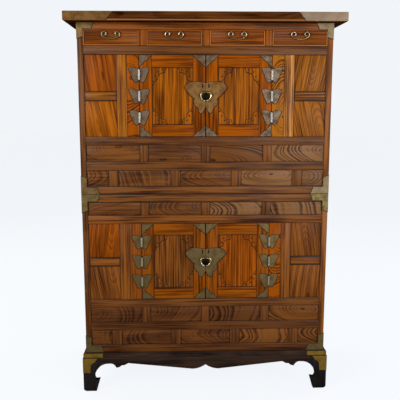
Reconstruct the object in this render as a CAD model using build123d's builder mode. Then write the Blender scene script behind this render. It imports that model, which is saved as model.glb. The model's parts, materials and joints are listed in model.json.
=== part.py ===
"""Two-part clothes cabinet: an upper and a lower chest with doors, stacked on a footed stand.

Millimetres. X runs from left to right as seen from the front, Y from front to back, Z up.
The origin is on the floor, under the middle of the cabinet's outer box.
"""

import math
import os

from build123d import *

os.makedirs("parts", exist_ok=True)

# Chest bodies: both chests share one width and depth.
BODY_W = 1036.0
BODY_D = 460.0
POST_W = 24.0  # corner post, seen from the front
POST_D = 40.0  # corner post, seen from the side
FRAME_T = 24.0  # front rails, dividers and door posts, front to back
SIDE_T = 22.0  # side rails, through the side
BACK_T = 20.0  # back rails, through the back
PANEL_T = 8.0
PANEL_SET_BACK = 4.0  # how far a panel lies behind the face of its frame
GROOVE = 7.0  # depth of the grooves that hold panels and boards
FIT = 0.1  # clearance at every glued or nailed wooden joint

# Heights, from the floor up. The first seven of a chest are the same in both chests.
STAND_LEG_H = 151.0
STAND_RAIL_H = 21.0
BOTTOM_RAIL_H = 34.0
LOW_FIELD_H = 66.0
MID_RAIL_H = 36.0
HIGH_FIELD_H = 69.0
SILL_RAIL_H = 34.0
DOOR_ZONE_H = 331.0
HEAD_RAIL_H = 35.0
CREST_FIELD_H = 55.0  # panel row over the doors of the lower chest
CREST_RAIL_H = 35.0
DRAWER_ROW_H = 63.0  # drawer row over the doors of the upper chest
FRIEZE_RAIL_H = 28.0
TOP_T = 37.0

# Widths across the front.
DOOR_OPENING_W = 544.0
HINGE_STILE_W = 50.0
DOOR_POST_W = 40.0
HINGE_STILE_SET_BACK = 2.0  # hinge stiles and doors lie this far behind the frame's face
FLANK_RAIL_H = 38.0
HIGH_DIVIDER_W = 34.0
LOW_DIVIDER_W = 40.0
DRAWER_DIVIDER_W = 30.0

# Boards inside.
BOARD_T = 12.0
BOARD_LIFT = 11.0  # wood left under a floor board and over a ceiling board
PARTITION_T = 12.0
GUIDE_H = 14.0
STOP_T = 14.0
STOP_LAP = 8.0  # how far a door stop reaches into the door opening
STOP_SEAT = 20.0  # how far it lies on the rail that carries it
STOP_REACH = 30.0  # how far it runs past the door opening at each end

# Top board.
TOP_FRONT_LIP = 45.0
TOP_SIDE_LIP = 45.0
TOP_BEAD_H = 8.0
TOP_QUIRK = 2.0  # width and depth of the small groove above the bead
TOP_EDGE_R = 2.5

# Stand.
LEG_OVER = 14.0  # legs and aprons stand out past the chest by this much
STAND_RAIL_OVER = 10.0
STAND_RAIL_W = 62.0
STAND_RAIL_R = 1.5  # rounding of the rail's outer edges
LEG_W = 70.0
LEG_T = 26.0  # thickness of the two boards that meet at a leg's corner
LEG_ARCH_H = 109.0  # height at which the leg's inner curve meets the apron
LEG_NECK_W = 49.0
LEG_NECK_H = 70.0
TOE_REACH = 71.0
TOE_H = 52.0
TOE_LIP = 17.0  # flat top of the toe
TOE_LIP_DROP = 2.0
SOLE_W = 56.0
SOLE_R = 14.0
APRON_T = 22.0
APRON_SET_BACK = 1.0
APRON_DEPTH = 55.0
APRON_END_RUN = 125.0  # scalloped stretch next to a leg
APRON_MID_RUN = 56.0  # half of the peak in the middle of the front
BACK_APRON_DEPTH = 34.0

# Doors.
DOOR_T = 21.0
DOOR_GAP = 1.5
MEETING_GAP = 3.0
STILE_W = 50.0
DOOR_RAIL_H = 48.0
SPANDREL_W = 62.0
SPANDREL_H = 76.0
SPANDREL_RELIEF = 2.5
SPANDREL_HOLE_R = 3.2

# Drawers.
DRAWER_GAP = 1.0
DRAWER_RUN = 0.3  # clearance over the deck
DRAWER_FRONT_T = 18.0
DRAWER_SIDE_T = 10.0
DRAWER_BOTTOM_T = 6.0
DRAWER_BOTTOM_LIFT = 4.0
DRAWER_GROOVE = 4.0
DRAWER_TRAY_DROP = 10.0  # how far the sides stop short of the front's top edge
DRAWER_STOP_GAP = 1.0
DRAWER_BEAD_W = 4.0
DRAWER_BEAD_RELIEF = 2.0

# Sheet metal mounts.
PLATE_T = 1.2
MOUNT_MARGIN = 1.0  # wood left showing between a mount and the edge of its board
MOUNT_RUN = 76.0
MOUNT_RISE = 78.0
MOUNT_BAND_H = 28.0
FRIEZE_MOUNT_RUN = 68.0
FRIEZE_MOUNT_RISE = 64.0
FRIEZE_MOUNT_BAND_H = 24.0
MOUNT_NOTCH = 5.0  # step of the scalloped ends
TOP_MOUNT_RUN = 196.0
TOP_MOUNT_SIDE_RUN = 120.0
TOP_MOUNT_NOTCH = 14.0
STAND_MOUNT_RUN = 82.0
STAND_MOUNT_SIDE_RUN = 60.0
LEG_MOUNT_W = 65.0
LEG_MOUNT_H = 66.0
LEG_MOUNT_BAND_W = 30.0
DOOR_MOUNT_W = 51.0
DOOR_MOUNT_H = 46.0

# Butterfly hinges: two leaves whose knuckles turn on a loose pin.
HINGE_PITCH = 86.0
LEAF_W = 41.0
LEAF_H = 58.0
LEAF_CLEAR = 3.6  # gap from the hinge line to a leaf's inner edge, beside the knuckles
KNUCKLE_R = 5.0
KNUCKLE_LIFT = 0.4  # gap between a knuckle and the wood behind it
BARREL_H = 38.0
MIDDLE_KNUCKLE_H = 14.0
KNUCKLE_GAP = 0.3
PIN_R = 2.2
PIN_RUN = 0.05
PIN_HEAD_R = 3.4
PIN_HEAD_H = 1.6

# Lock plates, each one half of a butterfly, and the half-ring pulls in front of them.
LOCK_W = 84.0
LOCK_H = 127.0
LOCK_DROP = 5.0  # middle of the plate below the middle of the door
LOCK_SEAM = 0.6  # from the middle of the seam to each half
LOCK_PIERCING_R = 3.0
LOCK_PIERCING_H = 17.0
LOCK_BOSS_R = 11.5
LOCK_BOSS_T = 2.4
LOCK_BOSS_DROP = 17.0  # middle of the boss below the turning line of the pull
PULL_WIRE_R = 2.8
PULL_END = 2.0  # end of the wire, from the seam between the doors
PULL_STRAIGHT = 9.0
PULL_SHOULDER_R = 10.0
PULL_SIDE_DROP = 3.0
PULL_BOW_TURN = 74.0
PULL_TIP_R = 3.4
PULL_RISE = 15.0  # turning line of a pull above the middle of the door

# Drawer bails with scrolled ends.
BAIL_WIRE_R = 2.5
BAIL_HALF_W = 36.0
BAIL_DROP = 28.0
BAIL_CORNER_R = 12.0
BAIL_SCROLL_R = 9.5
BAIL_SCROLL_TURN = 125.0
BAIL_RISE = 22.5  # turning line of a bail above the middle of the drawer

# Eye bolts that carry the pulls and bails.
EYE_L = 4.0
EYE_WALL = 1.8
EYE_RUN = 0.5
EYE_STAND_OFF = 0.6  # gap between an eye and the collar behind it
COLLAR_R = 3.8
COLLAR_T = 0.8
SHANK_R = 1.7

# One named overrun lets every cut pass clear of the face it leaves by.
OVERRUN = 5.0

# Shares: outlines as parts of the sizes that they follow, the first number across, the second up.
LOCK_WING_SHARES = ((0.34, 0.49), (0.68, 0.49), (0.93, 0.41), (1.0, 0.31), (0.92, 0.22), (0.72, 0.07))
LOCK_WAIST_SHARES = (0.52, -0.05)
LOCK_TAIL_SHARES = ((0.58, -0.14), (0.51, -0.25), (0.35, -0.36), (0.32, -0.44), (0.22, -0.50), (0.12, -0.44))
LOCK_TOP_SHARE = 0.46
LOCK_NOTCH_SHARE = -0.29
LOCK_PIERCING_SHARES = (0.15, 0.37)
LEAF_TOP_SHARES = (0.40, (0.34, 0.46), (0.74, 0.50), (0.97, 0.46))
LEAF_EDGE_SHARES = ((0.97, 0.34), (0.80, 0.04), (0.58, -0.34), (0.44, -0.50))
LEAF_FOOT_SHARES = ((0.26, -0.50), -0.36)
SPANDREL_SHARES = ((0.86, 0.26), (0.50, 0.36), (0.36, 0.62), (0.14, 0.82))
SPANDREL_HOLE_SHARES = ((0.72, 0.14), (0.42, 0.24), (0.25, 0.48), (0.10, 0.74))
DOOR_MOUNT_SHARES = ((0.70, 0.26), (0.60, 0.42), (0.38, 0.52), (0.28, 0.70))
SCALLOP_SHARE = 0.12
LEG_MOUNT_SHARES = ((0.62, 0.26), (0.08, 0.52))
APRON_ARCH_SHARES = ((0.12, 0.58), (0.34, 0.49))
APRON_DROP_SHARES = ((0.49, 0.55), (0.58, 0.82))
APRON_LOBE_SHARES = ((0.70, 0.77), (0.77, 0.635), (0.87, 0.625))
APRON_CREST_SHARE = 0.46
APRON_DIP_SHARES = (0.45, 0.89)
APRON_PEAK_SHARE = 0.64
BAIL_CURL_SHARE = 0.66
BAIL_FALL_SHARE = 0.87
LEG_HIP_SHARES = (0.30, 0.48)
LEG_INSTEP_SHARES = (0.28, 0.28)

# Heights and planes that follow from the sizes above.
STAND_H = STAND_LEG_H + STAND_RAIL_H
SHARED_HEIGHTS = (
    BOTTOM_RAIL_H,
    LOW_FIELD_H,
    MID_RAIL_H,
    HIGH_FIELD_H,
    SILL_RAIL_H,
    DOOR_ZONE_H,
    HEAD_RAIL_H,
)
BACK_Y = (BODY_D + TOP_FRONT_LIP + PLATE_T) / 2
FRONT_Y = BACK_Y - BODY_D
FRAME_Y = (FRONT_Y, FRONT_Y + FRAME_T)
PANEL_Y = (FRONT_Y + PANEL_SET_BACK, FRONT_Y + PANEL_SET_BACK + PANEL_T)
DOOR_FRONT_Y = FRONT_Y + HINGE_STILE_SET_BACK
DOOR_Y = (DOOR_FRONT_Y, DOOR_FRONT_Y + DOOR_T)
DOOR_PANEL_Y = (DOOR_FRONT_Y + PANEL_SET_BACK, DOOR_FRONT_Y + PANEL_SET_BACK + PANEL_T)
BODY_X = BODY_W / 2
CLEAR_X = BODY_X - POST_W
FLANK_X = DOOR_OPENING_W / 2 + HINGE_STILE_W + DOOR_POST_W
SIDE_Y = (FRONT_Y + POST_D, BACK_Y - POST_D)
HIGH_PITCH = (2 * CLEAR_X + HIGH_DIVIDER_W) / 4
HIGH_CENTRES = (-HIGH_PITCH, 0, HIGH_PITCH)
LOW_CENTRES = (-1.5 * HIGH_PITCH, -0.5 * HIGH_PITCH, 0.5 * HIGH_PITCH, 1.5 * HIGH_PITCH)
DRAWER_PITCH = (2 * CLEAR_X + DRAWER_DIVIDER_W) / 4
DRAWER_DIVIDER_CENTRES = (-DRAWER_PITCH, 0, DRAWER_PITCH)
HINGE_X = DOOR_OPENING_W / 2 - DOOR_GAP / 2
HINGE_Y = DOOR_FRONT_Y - KNUCKLE_R - KNUCKLE_LIFT
STAND_X = BODY_X + LEG_OVER
STAND_FRONT_Y = FRONT_Y - LEG_OVER
STAND_MID_Y = (STAND_FRONT_Y + BACK_Y) / 2


def write(part, name):
    """Labels a finished piece and writes its file."""
    part.label = name
    export_step(part, f"parts/{name}.step")


def stack(base, heights):
    """The levels of a pile that starts at a base, from the lowest to the highest."""
    levels = [base]
    for height in heights:
        levels.append(levels[-1] + height)
    return levels


LOWER_Z = stack(STAND_H, (*SHARED_HEIGHTS, CREST_FIELD_H, CREST_RAIL_H))
UPPER_Z = stack(LOWER_Z[-1], (*SHARED_HEIGHTS, DRAWER_ROW_H, FRIEZE_RAIL_H))


def beside(side, inner, outer):
    """A span to the left (-1) or right (1) of the middle, from its low to its high end."""
    return sorted((side * inner, side * outer))


def about(centre, width):
    """A span of one width about its centre."""
    return (centre - width / 2, centre + width / 2)


def grown(span, by):
    """A span made longer at both ends."""
    return (span[0] - by, span[1] + by)


def gaps_between(low, high, centres, width):
    """The open spans left between members of one width that stand at the given centres."""
    edges = [low]
    for centre in centres:
        edges.extend(about(centre, width))
    edges.append(high)
    return list(zip(edges[::2], edges[1::2]))


def board(x, y, z, mode=Mode.ADD):
    """A square-edged board between two planes each way, in the part being built."""
    with Locations(((x[0] + x[1]) / 2, (y[0] + y[1]) / 2, (z[0] + z[1]) / 2)):
        Box(x[1] - x[0], y[1] - y[0], z[1] - z[0], mode=mode)


def add_panel(field, depth=GROOVE):
    """A panel that fills a field and reaches into the grooves around it; thin is its thin axis."""
    thin, *spans = field
    board(*(span if axis == thin else grown(span, depth - FIT) for axis, span in enumerate(spans)))


def cut_groove(field, depth=GROOVE):
    """The groove that holds a field's panel, cut from every member of the part being built."""
    thin, *spans = field
    room = (grown(span, FIT if axis == thin else depth) for axis, span in enumerate(spans))
    board(*room, mode=Mode.SUBTRACT)


def front_plane(y):
    """A sketch plane that faces the viewer: across is X, up is Z, and extruding comes forward."""
    return Plane(origin=(0, y, 0), x_dir=(1, 0, 0), z_dir=(0, -1, 0))


def scallops(points, towards):
    """Hollow arcs from point to point in the line being built, each sagging towards one point."""
    for start, end in zip(points, points[1:]):
        middle = (Vector(*start) + Vector(*end)) / 2
        sag = (Vector(*start) - Vector(*end)).length * SCALLOP_SHARE
        ThreePointArc(start, middle + (Vector(*towards) - middle).normalized() * sag, end)


def row_fields(z, centres, width):
    """The panel fields of one row across the front."""
    return [(1, span, PANEL_Y, z) for span in gaps_between(-CLEAR_X, CLEAR_X, centres, width)]


def front_fields(levels):
    """The panel fields that both chests have on the front: two rows and the flanks of the doors."""
    fields = row_fields(levels[1:3], LOW_CENTRES, LOW_DIVIDER_W)
    fields += row_fields(levels[3:5], HIGH_CENTRES, HIGH_DIVIDER_W)
    flank_z = about((levels[5] + levels[6]) / 2, FLANK_RAIL_H)
    for side in (-1, 1):
        for z in ((levels[5], flank_z[0]), (flank_z[1], levels[6])):
            fields.append((1, beside(side, FLANK_X, CLEAR_X), PANEL_Y, z))
    return fields


def side_fields(levels):
    """The panel fields of both sides: below the sill, beside the doors and above them."""
    outer = BODY_X - PANEL_SET_BACK
    fields = []
    for side in (-1, 1):
        for low, high in ((1, 4), (5, 6), (7, 8)):
            fields.append((0, beside(side, outer - PANEL_T, outer), SIDE_Y, (levels[low], levels[high])))
    return fields


def back_fields(levels):
    """The panel fields of the back: one tall and one over it."""
    y = (BACK_Y - PANEL_SET_BACK - PANEL_T, BACK_Y - PANEL_SET_BACK)
    x = (-CLEAR_X, CLEAR_X)
    return [(1, x, y, (levels[1], levels[6])), (1, x, y, (levels[7], levels[8]))]


def board_field(low):
    """A level board let into the rails all round, with its underside at one height."""
    inside = BODY_X - SIDE_T
    return (2, (-inside, inside), (FRONT_Y + FRAME_T, BACK_Y - BACK_T), (low, low + BOARD_T))


def front_frame(levels, crest_centres, crest_width, fields):
    """Rails, dividers, door posts, hinge stiles and flank rails of a front, grooved for panels."""
    with BuildPart() as frame:
        for low, high in zip(levels[::2], levels[1::2]):
            board((FIT - CLEAR_X, CLEAR_X - FIT), FRAME_Y, (low, high))
        rows = (
            (LOW_CENTRES, LOW_DIVIDER_W, levels[1:3]),
            (HIGH_CENTRES, HIGH_DIVIDER_W, levels[3:5]),
            (crest_centres, crest_width, levels[7:9]),
        )
        for centres, width, z in rows:
            for centre in centres:
                board(about(centre, width), FRAME_Y, grown(z, -FIT))
        door_z = grown(levels[5:7], -FIT)
        flank_z = about((levels[5] + levels[6]) / 2, FLANK_RAIL_H)
        stile_x = DOOR_OPENING_W / 2
        post_x = stile_x + HINGE_STILE_W
        for side in (-1, 1):
            board(beside(side, stile_x, post_x - FIT), (DOOR_FRONT_Y, FRAME_Y[1]), door_z)
            board(beside(side, post_x, FLANK_X), FRAME_Y, door_z)
            board(beside(side, FLANK_X + FIT, CLEAR_X - FIT), FRAME_Y, flank_z)
        for field in fields:
            cut_groove(field)
    return frame.part


def panels(fields):
    """One panel for each field of a front."""
    with BuildPart() as filling:
        for field in fields:
            add_panel(field)
    return filling.part


def corner_posts(levels, fields):
    """The four corner posts of a chest, grooved for panels and notched for its level boards."""
    with BuildPart() as posts:
        for side in (-1, 1):
            for y in ((FRONT_Y, SIDE_Y[0]), (SIDE_Y[1], BACK_Y)):
                board(beside(side, CLEAR_X, BODY_X), y, (levels[0], levels[9]))
        for field in fields:
            cut_groove(field)
    return posts.part


def sides(levels, fields):
    """Both sides: four rails between the posts on each, with panels in them."""
    with BuildPart() as frames:
        for side in (-1, 1):
            for low, high in ((0, 1), (4, 5), (6, 7), (8, 9)):
                x = beside(side, BODY_X - SIDE_T, BODY_X)
                board(x, grown(SIDE_Y, -FIT), (levels[low], levels[high]))
        for field in fields:
            cut_groove(field)
        for field in side_fields(levels):
            add_panel(field)
    return frames.part


def back(levels, fields):
    """The back: three rails between the rear posts, with two panels in them."""
    with BuildPart() as frames:
        for low, high in ((0, 1), (6, 7), (8, 9)):
            board((FIT - CLEAR_X, CLEAR_X - FIT), (BACK_Y - BACK_T, BACK_Y), (levels[low], levels[high]))
        for field in fields:
            cut_groove(field)
        for field in back_fields(levels):
            add_panel(field)
    return frames.part


def inner_boards(levels, board_fields):
    """The level boards of a chest and the two strips that its doors close against."""
    stop_x = DOOR_OPENING_W / 2 + STOP_REACH
    stop_y = (FRAME_Y[1] + FIT, FRAME_Y[1] + STOP_T)
    with BuildPart() as boards:
        for field in board_fields:
            add_panel(field)
        for z in (
            (levels[5] - STOP_SEAT, levels[5] + STOP_LAP),
            (levels[6] - STOP_LAP, levels[6] + STOP_SEAT),
        ):
            board((-stop_x, stop_x), stop_y, z)
    return boards.part


def drawer_deck(deck):
    """The board that the drawers run on, with partitions and guides between them."""
    floor_z = deck[3][1] + FIT
    inner_y = grown(deck[2], -FIT)
    guide_y = grown(SIDE_Y, -FIT)
    guide_z = (floor_z, floor_z + GUIDE_H)
    half_partition = PARTITION_T / 2
    half_divider = DRAWER_DIVIDER_W / 2
    with BuildPart() as deck_part:
        add_panel(deck)
        for centre in DRAWER_DIVIDER_CENTRES:
            board(about(centre, PARTITION_T), inner_y, (floor_z, UPPER_Z[9] - FIT))
            board((centre - half_divider, centre - half_partition - FIT), guide_y, guide_z)
            board((centre + half_partition + FIT, centre + half_divider), guide_y, guide_z)
        for side in (-1, 1):
            outer = BODY_X - PANEL_SET_BACK - PANEL_T - FIT
            board(beside(side, CLEAR_X, outer), guide_y, guide_z)
    return deck_part.part


def bent_plate(corner_x, front_y, runs, draw):
    """A mount drawn on the front and again on the left side, joined round the corner between them.

    The front leaf is longer by the plate's thickness, so that it covers the side leaf's edge.
    """
    leaves = (((1, 0, 0), (0, -1, 0), PLATE_T), ((0, 1, 0), (1, 0, 0), 0))
    for (across, outward, extra), run in zip(leaves, runs):
        place = Plane(origin=(corner_x - PLATE_T, front_y, 0), x_dir=across, z_dir=outward)
        with BuildSketch(place) as leaf:
            with BuildLine():
                draw(run + extra, extra)
            make_face()
        extrude(leaf.sketch, amount=PLATE_T)


def corner_mount(z, up, run, rise, band_h):
    """An L-shaped mount with scalloped ends on the left front corner of a chest."""
    notch = MOUNT_NOTCH
    high = z + up * band_h
    tip = z + up * rise

    def outline(length, extra):
        band = POST_W - MOUNT_MARGIN + extra
        across_end = ((length, z), (length - notch, (z + high) / 2), (length - 2 * notch, high))
        upright_end = ((band, tip - 2 * up * notch), (band / 2, tip - up * notch), (0, tip))
        Line((0, z), across_end[0])
        scallops(across_end, (length / 2, (z + high) / 2))
        Polyline(across_end[-1], (band, high), upright_end[0])
        scallops(upright_end, (band / 2, (z + tip) / 2))
        Line(upright_end[-1], (0, z))

    bent_plate(-BODY_X, FRONT_Y, (run, run), outline)


def corner_mounts(levels, head_run, head_rise, head_band):
    """The four front corner mounts of a chest."""
    with BuildPart() as mounts:
        corner_mount(levels[0] + MOUNT_MARGIN, 1, MOUNT_RUN, MOUNT_RISE, MOUNT_BAND_H)
        corner_mount(levels[9] - MOUNT_MARGIN, -1, head_run, head_rise, head_band)
        mirror(about=Plane.YZ)
    return mounts.part


def leaf_outline(direction, z):
    """One wing of a butterfly hinge, to the left (-1) or right (1) of the hinge line on the right."""
    def place(shares):
        return (HINGE_X + direction * shares[0] * LEAF_W, z + shares[1] * LEAF_H)

    clear = LEAF_CLEAR / LEAF_W
    start, *top = LEAF_TOP_SHARES
    foot, heel = LEAF_FOOT_SHARES
    upper = Spline(place((clear, start)), *(place(p) for p in top))
    edge = Spline(upper @ 1, *(place(p) for p in LEAF_EDGE_SHARES))
    under = Spline(edge @ 1, place(foot), place((clear, heel)))
    Line(under @ 1, upper @ 0)


def hinge_leaves(levels, direction, knuckles):
    """Three leaves on one side of the right hinge line, each a wing with its share of the knuckles."""
    middle = (levels[5] + levels[6]) / 2
    tab_x = sorted((HINGE_X, HINGE_X + direction * (LEAF_CLEAR + PLATE_T)))
    for z in (middle - HINGE_PITCH, middle, middle + HINGE_PITCH):
        with BuildSketch(front_plane(DOOR_FRONT_Y)) as wing:
            with BuildLine():
                leaf_outline(direction, z)
            make_face()
        extrude(wing.sketch, amount=PLATE_T)
        for low, high in knuckles:
            board(tab_x, (DOOR_FRONT_Y - PLATE_T, DOOR_FRONT_Y), (z + low, z + high))
            with Locations((HINGE_X, HINGE_Y, z + (low + high) / 2)):
                Cylinder(KNUCKLE_R, high - low)
                Cylinder(PIN_R + PIN_RUN, high - low + OVERRUN, mode=Mode.SUBTRACT)


HALF_MIDDLE = MIDDLE_KNUCKLE_H / 2
HALF_BARREL = BARREL_H / 2
MIDDLE_KNUCKLES = ((-HALF_MIDDLE, HALF_MIDDLE),)
OUTER_KNUCKLES = (
    (-HALF_BARREL, -HALF_MIDDLE - KNUCKLE_GAP),
    (HALF_MIDDLE + KNUCKLE_GAP, HALF_BARREL),
)


def stile_hinge_leaves(levels):
    """The leaves on both hinge stiles of a chest, with a headed pin in each barrel."""
    middle = (levels[5] + levels[6]) / 2
    with BuildPart() as leaves:
        hinge_leaves(levels, 1, OUTER_KNUCKLES)
        for z in (middle - HINGE_PITCH, middle, middle + HINGE_PITCH):
            with Locations((HINGE_X, HINGE_Y, z)):
                Cylinder(PIN_R, BARREL_H + PIN_HEAD_H)
            for end in (-1, 1):
                with Locations((HINGE_X, HINGE_Y, z + end * (HALF_BARREL + FIT + PIN_HEAD_H / 2))):
                    Cylinder(PIN_HEAD_R, PIN_HEAD_H)
        mirror(about=Plane.YZ)
    return leaves.part


def door_span(levels):
    """A door's height, with its gap to the rails above and below."""
    return grown(levels[5:7], -DOOR_GAP)


def door_field(side, levels):
    """The panel field of a door."""
    inner = MEETING_GAP / 2 + STILE_W
    outer = DOOR_OPENING_W / 2 - DOOR_GAP - STILE_W
    return (1, beside(side, inner, outer), DOOR_PANEL_Y, grown(door_span(levels), -DOOR_RAIL_H))


def pull_place(side, levels):
    """The middle of a door pull's eye, where the pull's turning line passes through it."""
    x = side * (PULL_END + PULL_STRAIGHT / 2)
    return (x, eye_line(DOOR_FRONT_Y - PLATE_T, PULL_WIRE_R), (levels[5] + levels[6]) / 2 + PULL_RISE)


def eye_line(face_y, wire_r):
    """How far forward the turning line of a wire lies, in front of the face that its eyes stand on."""
    return face_y - COLLAR_T - EYE_STAND_OFF - wire_r - EYE_RUN - EYE_WALL


def eye_bolt(place, face_y, back_y, wire_r):
    """An eye with a collar against a face and a shank through to the back, in the part being built."""
    x, y, z = place
    bore = wire_r + EYE_RUN
    with Locations((x, (face_y - COLLAR_T / 2 - FIT), z)):
        Cylinder(COLLAR_R, COLLAR_T, rotation=(90, 0, 0))
    with Locations((x, (y + back_y) / 2, z)):
        Cylinder(SHANK_R, back_y - y, rotation=(90, 0, 0))
    with Locations((x, y, z)):
        Cylinder(bore + EYE_WALL, EYE_L, rotation=(0, 90, 0))
        Cylinder(bore, EYE_L + OVERRUN, rotation=(0, 90, 0), mode=Mode.SUBTRACT)


def shank_hole(place, y):
    """The hole that an eye bolt's shank passes through, cut from the part being built."""
    with Locations((place[0], (y[0] + y[1]) / 2, place[2])):
        Cylinder(SHANK_R + FIT, y[1] - y[0] + OVERRUN, rotation=(90, 0, 0), mode=Mode.SUBTRACT)


def door_frame(side, levels):
    """Two stiles and two rails, grooved for the panel, with the hole for the pull's eye bolt."""
    inner = MEETING_GAP / 2
    outer = DOOR_OPENING_W / 2 - DOOR_GAP
    low, high = door_span(levels)
    with BuildPart() as frame:
        board(beside(side, inner, inner + STILE_W), DOOR_Y, (low, high))
        board(beside(side, outer - STILE_W, outer), DOOR_Y, (low, high))
        rail_x = beside(side, inner + STILE_W + FIT, outer - STILE_W - FIT)
        board(rail_x, DOOR_Y, (low, low + DOOR_RAIL_H))
        board(rail_x, DOOR_Y, (high - DOOR_RAIL_H, high))
        cut_groove(door_field(side, levels))
        shank_hole(pull_place(side, levels), DOOR_Y)
    return frame.part


def spandrel(corner, across, up):
    """One carved corner of a door panel, with its pierced dots, in the sketch being built."""
    def place(shares):
        return (corner[0] + across * shares[0] * SPANDREL_W, corner[1] + up * shares[1] * SPANDREL_H)

    edge = [place(p) for p in ((1, 0), *SPANDREL_SHARES, (0, 1))]
    with BuildLine() as border:
        Line(corner, edge[0])
        scallops(edge, corner)
        Line(edge[-1], corner)
    make_face(border.edges())
    with Locations(*(place(p) for p in SPANDREL_HOLE_SHARES)):
        Circle(SPANDREL_HOLE_R, mode=Mode.SUBTRACT)


def door_panel(side, levels):
    """A door's panel with a carved spandrel in each corner."""
    field = door_field(side, levels)
    _, x, y, z = field
    with BuildPart() as panel:
        add_panel(field)
        for corner_x, across in ((x[0], 1), (x[1], -1)):
            for corner_z, up in ((z[0], 1), (z[1], -1)):
                with BuildSketch(front_plane(y[0])):
                    spandrel((corner_x, corner_z), across, up)
                extrude(amount=SPANDREL_RELIEF)
    return panel.part


def door_mounts(side, levels):
    """The four scalloped corner mounts of a door."""
    x = beside(side, MEETING_GAP / 2, DOOR_OPENING_W / 2 - DOOR_GAP)
    z = door_span(levels)
    with BuildPart() as mounts:
        for corner_x, across in ((x[0], 1), (x[1], -1)):
            for corner_z, up in ((z[0], 1), (z[1], -1)):
                corner = (corner_x + across * MOUNT_MARGIN, corner_z + up * MOUNT_MARGIN)
                edge = [
                    (corner[0] + across * a * DOOR_MOUNT_W, corner[1] + up * b * DOOR_MOUNT_H)
                    for a, b in ((1, 0), *DOOR_MOUNT_SHARES, (0, 1))
                ]
                with BuildSketch(front_plane(DOOR_FRONT_Y)):
                    with BuildLine():
                        Line(corner, edge[0])
                        scallops(edge, corner)
                        Line(edge[-1], corner)
                    make_face()
                extrude(amount=PLATE_T)
    return mounts.part


def door_hinge_leaves(side, levels):
    """The three hinge leaves that turn with a door."""
    with BuildPart() as leaves:
        hinge_leaves(levels, -1, MIDDLE_KNUCKLES)
        if side < 0:
            mirror(about=Plane.YZ, mode=Mode.REPLACE)
    return leaves.part


def lock_plate(side, levels):
    """Half of the butterfly lock plate, with half a boss and the eye bolt of the door's pull."""
    middle = (levels[5] + levels[6]) / 2 - LOCK_DROP

    def place(shares):
        return (side * (LOCK_SEAM + shares[0] * (LOCK_W - LOCK_SEAM)), middle + shares[1] * LOCK_H)

    bolt = pull_place(side, levels)
    face_y = DOOR_FRONT_Y - PLATE_T
    with BuildPart() as plate:
        with BuildSketch(front_plane(DOOR_FRONT_Y)):
            with BuildLine():
                wing = Spline(
                    place((0, LOCK_TOP_SHARE)),
                    *(place(p) for p in LOCK_WING_SHARES),
                    place(LOCK_WAIST_SHARES),
                )
                tail = Spline(
                    wing @ 1,
                    *(place(p) for p in LOCK_TAIL_SHARES),
                    place((0, LOCK_NOTCH_SHARE)),
                )
                Line(tail @ 1, wing @ 0)
            make_face()
            with Locations(place(LOCK_PIERCING_SHARES)):
                SlotOverall(LOCK_PIERCING_H, 2 * LOCK_PIERCING_R, rotation=90, mode=Mode.SUBTRACT)
        extrude(amount=PLATE_T)
        boss = (face_y, bolt[2] - LOCK_BOSS_DROP)
        with BuildSketch(Plane.YZ.offset(side * LOCK_SEAM)) as dome:
            with BuildLine():
                crown = EllipticalCenterArc(boss, LOCK_BOSS_T, LOCK_BOSS_R, start_angle=90, arc_size=90)
                Line(crown @ 1, boss)
                Line(boss, crown @ 0)
            make_face()
        revolve(dome.sketch, Axis((side * LOCK_SEAM, *boss), (0, side, 0)), 180)
        shank_hole(bolt, (face_y, DOOR_FRONT_Y))
        eye_bolt(bolt, face_y, DOOR_Y[1], PULL_WIRE_R)
    return plate.part


def door_pull(side, levels):
    """A half-ring of wire that hangs in its eye; the two of a chest make one ring."""
    _, y, z = pull_place(side, levels)
    with BuildPart() as pull:
        with BuildLine(front_plane(y)) as path:
            bar = Line((-PULL_END, z), (-PULL_END - PULL_STRAIGHT, z))
            shoulder = JernArc(bar @ 1, bar % 1, PULL_SHOULDER_R, 90)
            cheek = Line(shoulder @ 1, shoulder @ 1 + shoulder % 1 * PULL_SIDE_DROP)
            bow_r = PULL_END + PULL_STRAIGHT + PULL_SHOULDER_R
            bow = JernArc(cheek @ 1, cheek % 1, bow_r, PULL_BOW_TURN)
        with BuildSketch(Plane(origin=bar @ 0, z_dir=bar % 0)):
            Circle(PULL_WIRE_R)
        sweep(path=path.wire())
        with Locations(bow @ 1):
            Sphere(PULL_TIP_R)
        if side > 0:
            mirror(about=Plane.YZ, mode=Mode.REPLACE)
    return pull.part


def drawer_spans(centre):
    """A drawer front's width and height in its opening."""
    width = DRAWER_PITCH - DRAWER_DIVIDER_W - 2 * DRAWER_GAP
    return about(centre, width), grown(UPPER_Z[7:9], -DRAWER_GAP)


def bail_places(centre):
    """The two eyes of a drawer bail, at the crowns of its scrolls."""
    reach = BAIL_HALF_W - BAIL_SCROLL_R
    z = (UPPER_Z[7] + UPPER_Z[8]) / 2 + BAIL_RISE
    return [(centre + side * reach, eye_line(FRONT_Y, BAIL_WIRE_R), z) for side in (-1, 1)]


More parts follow.
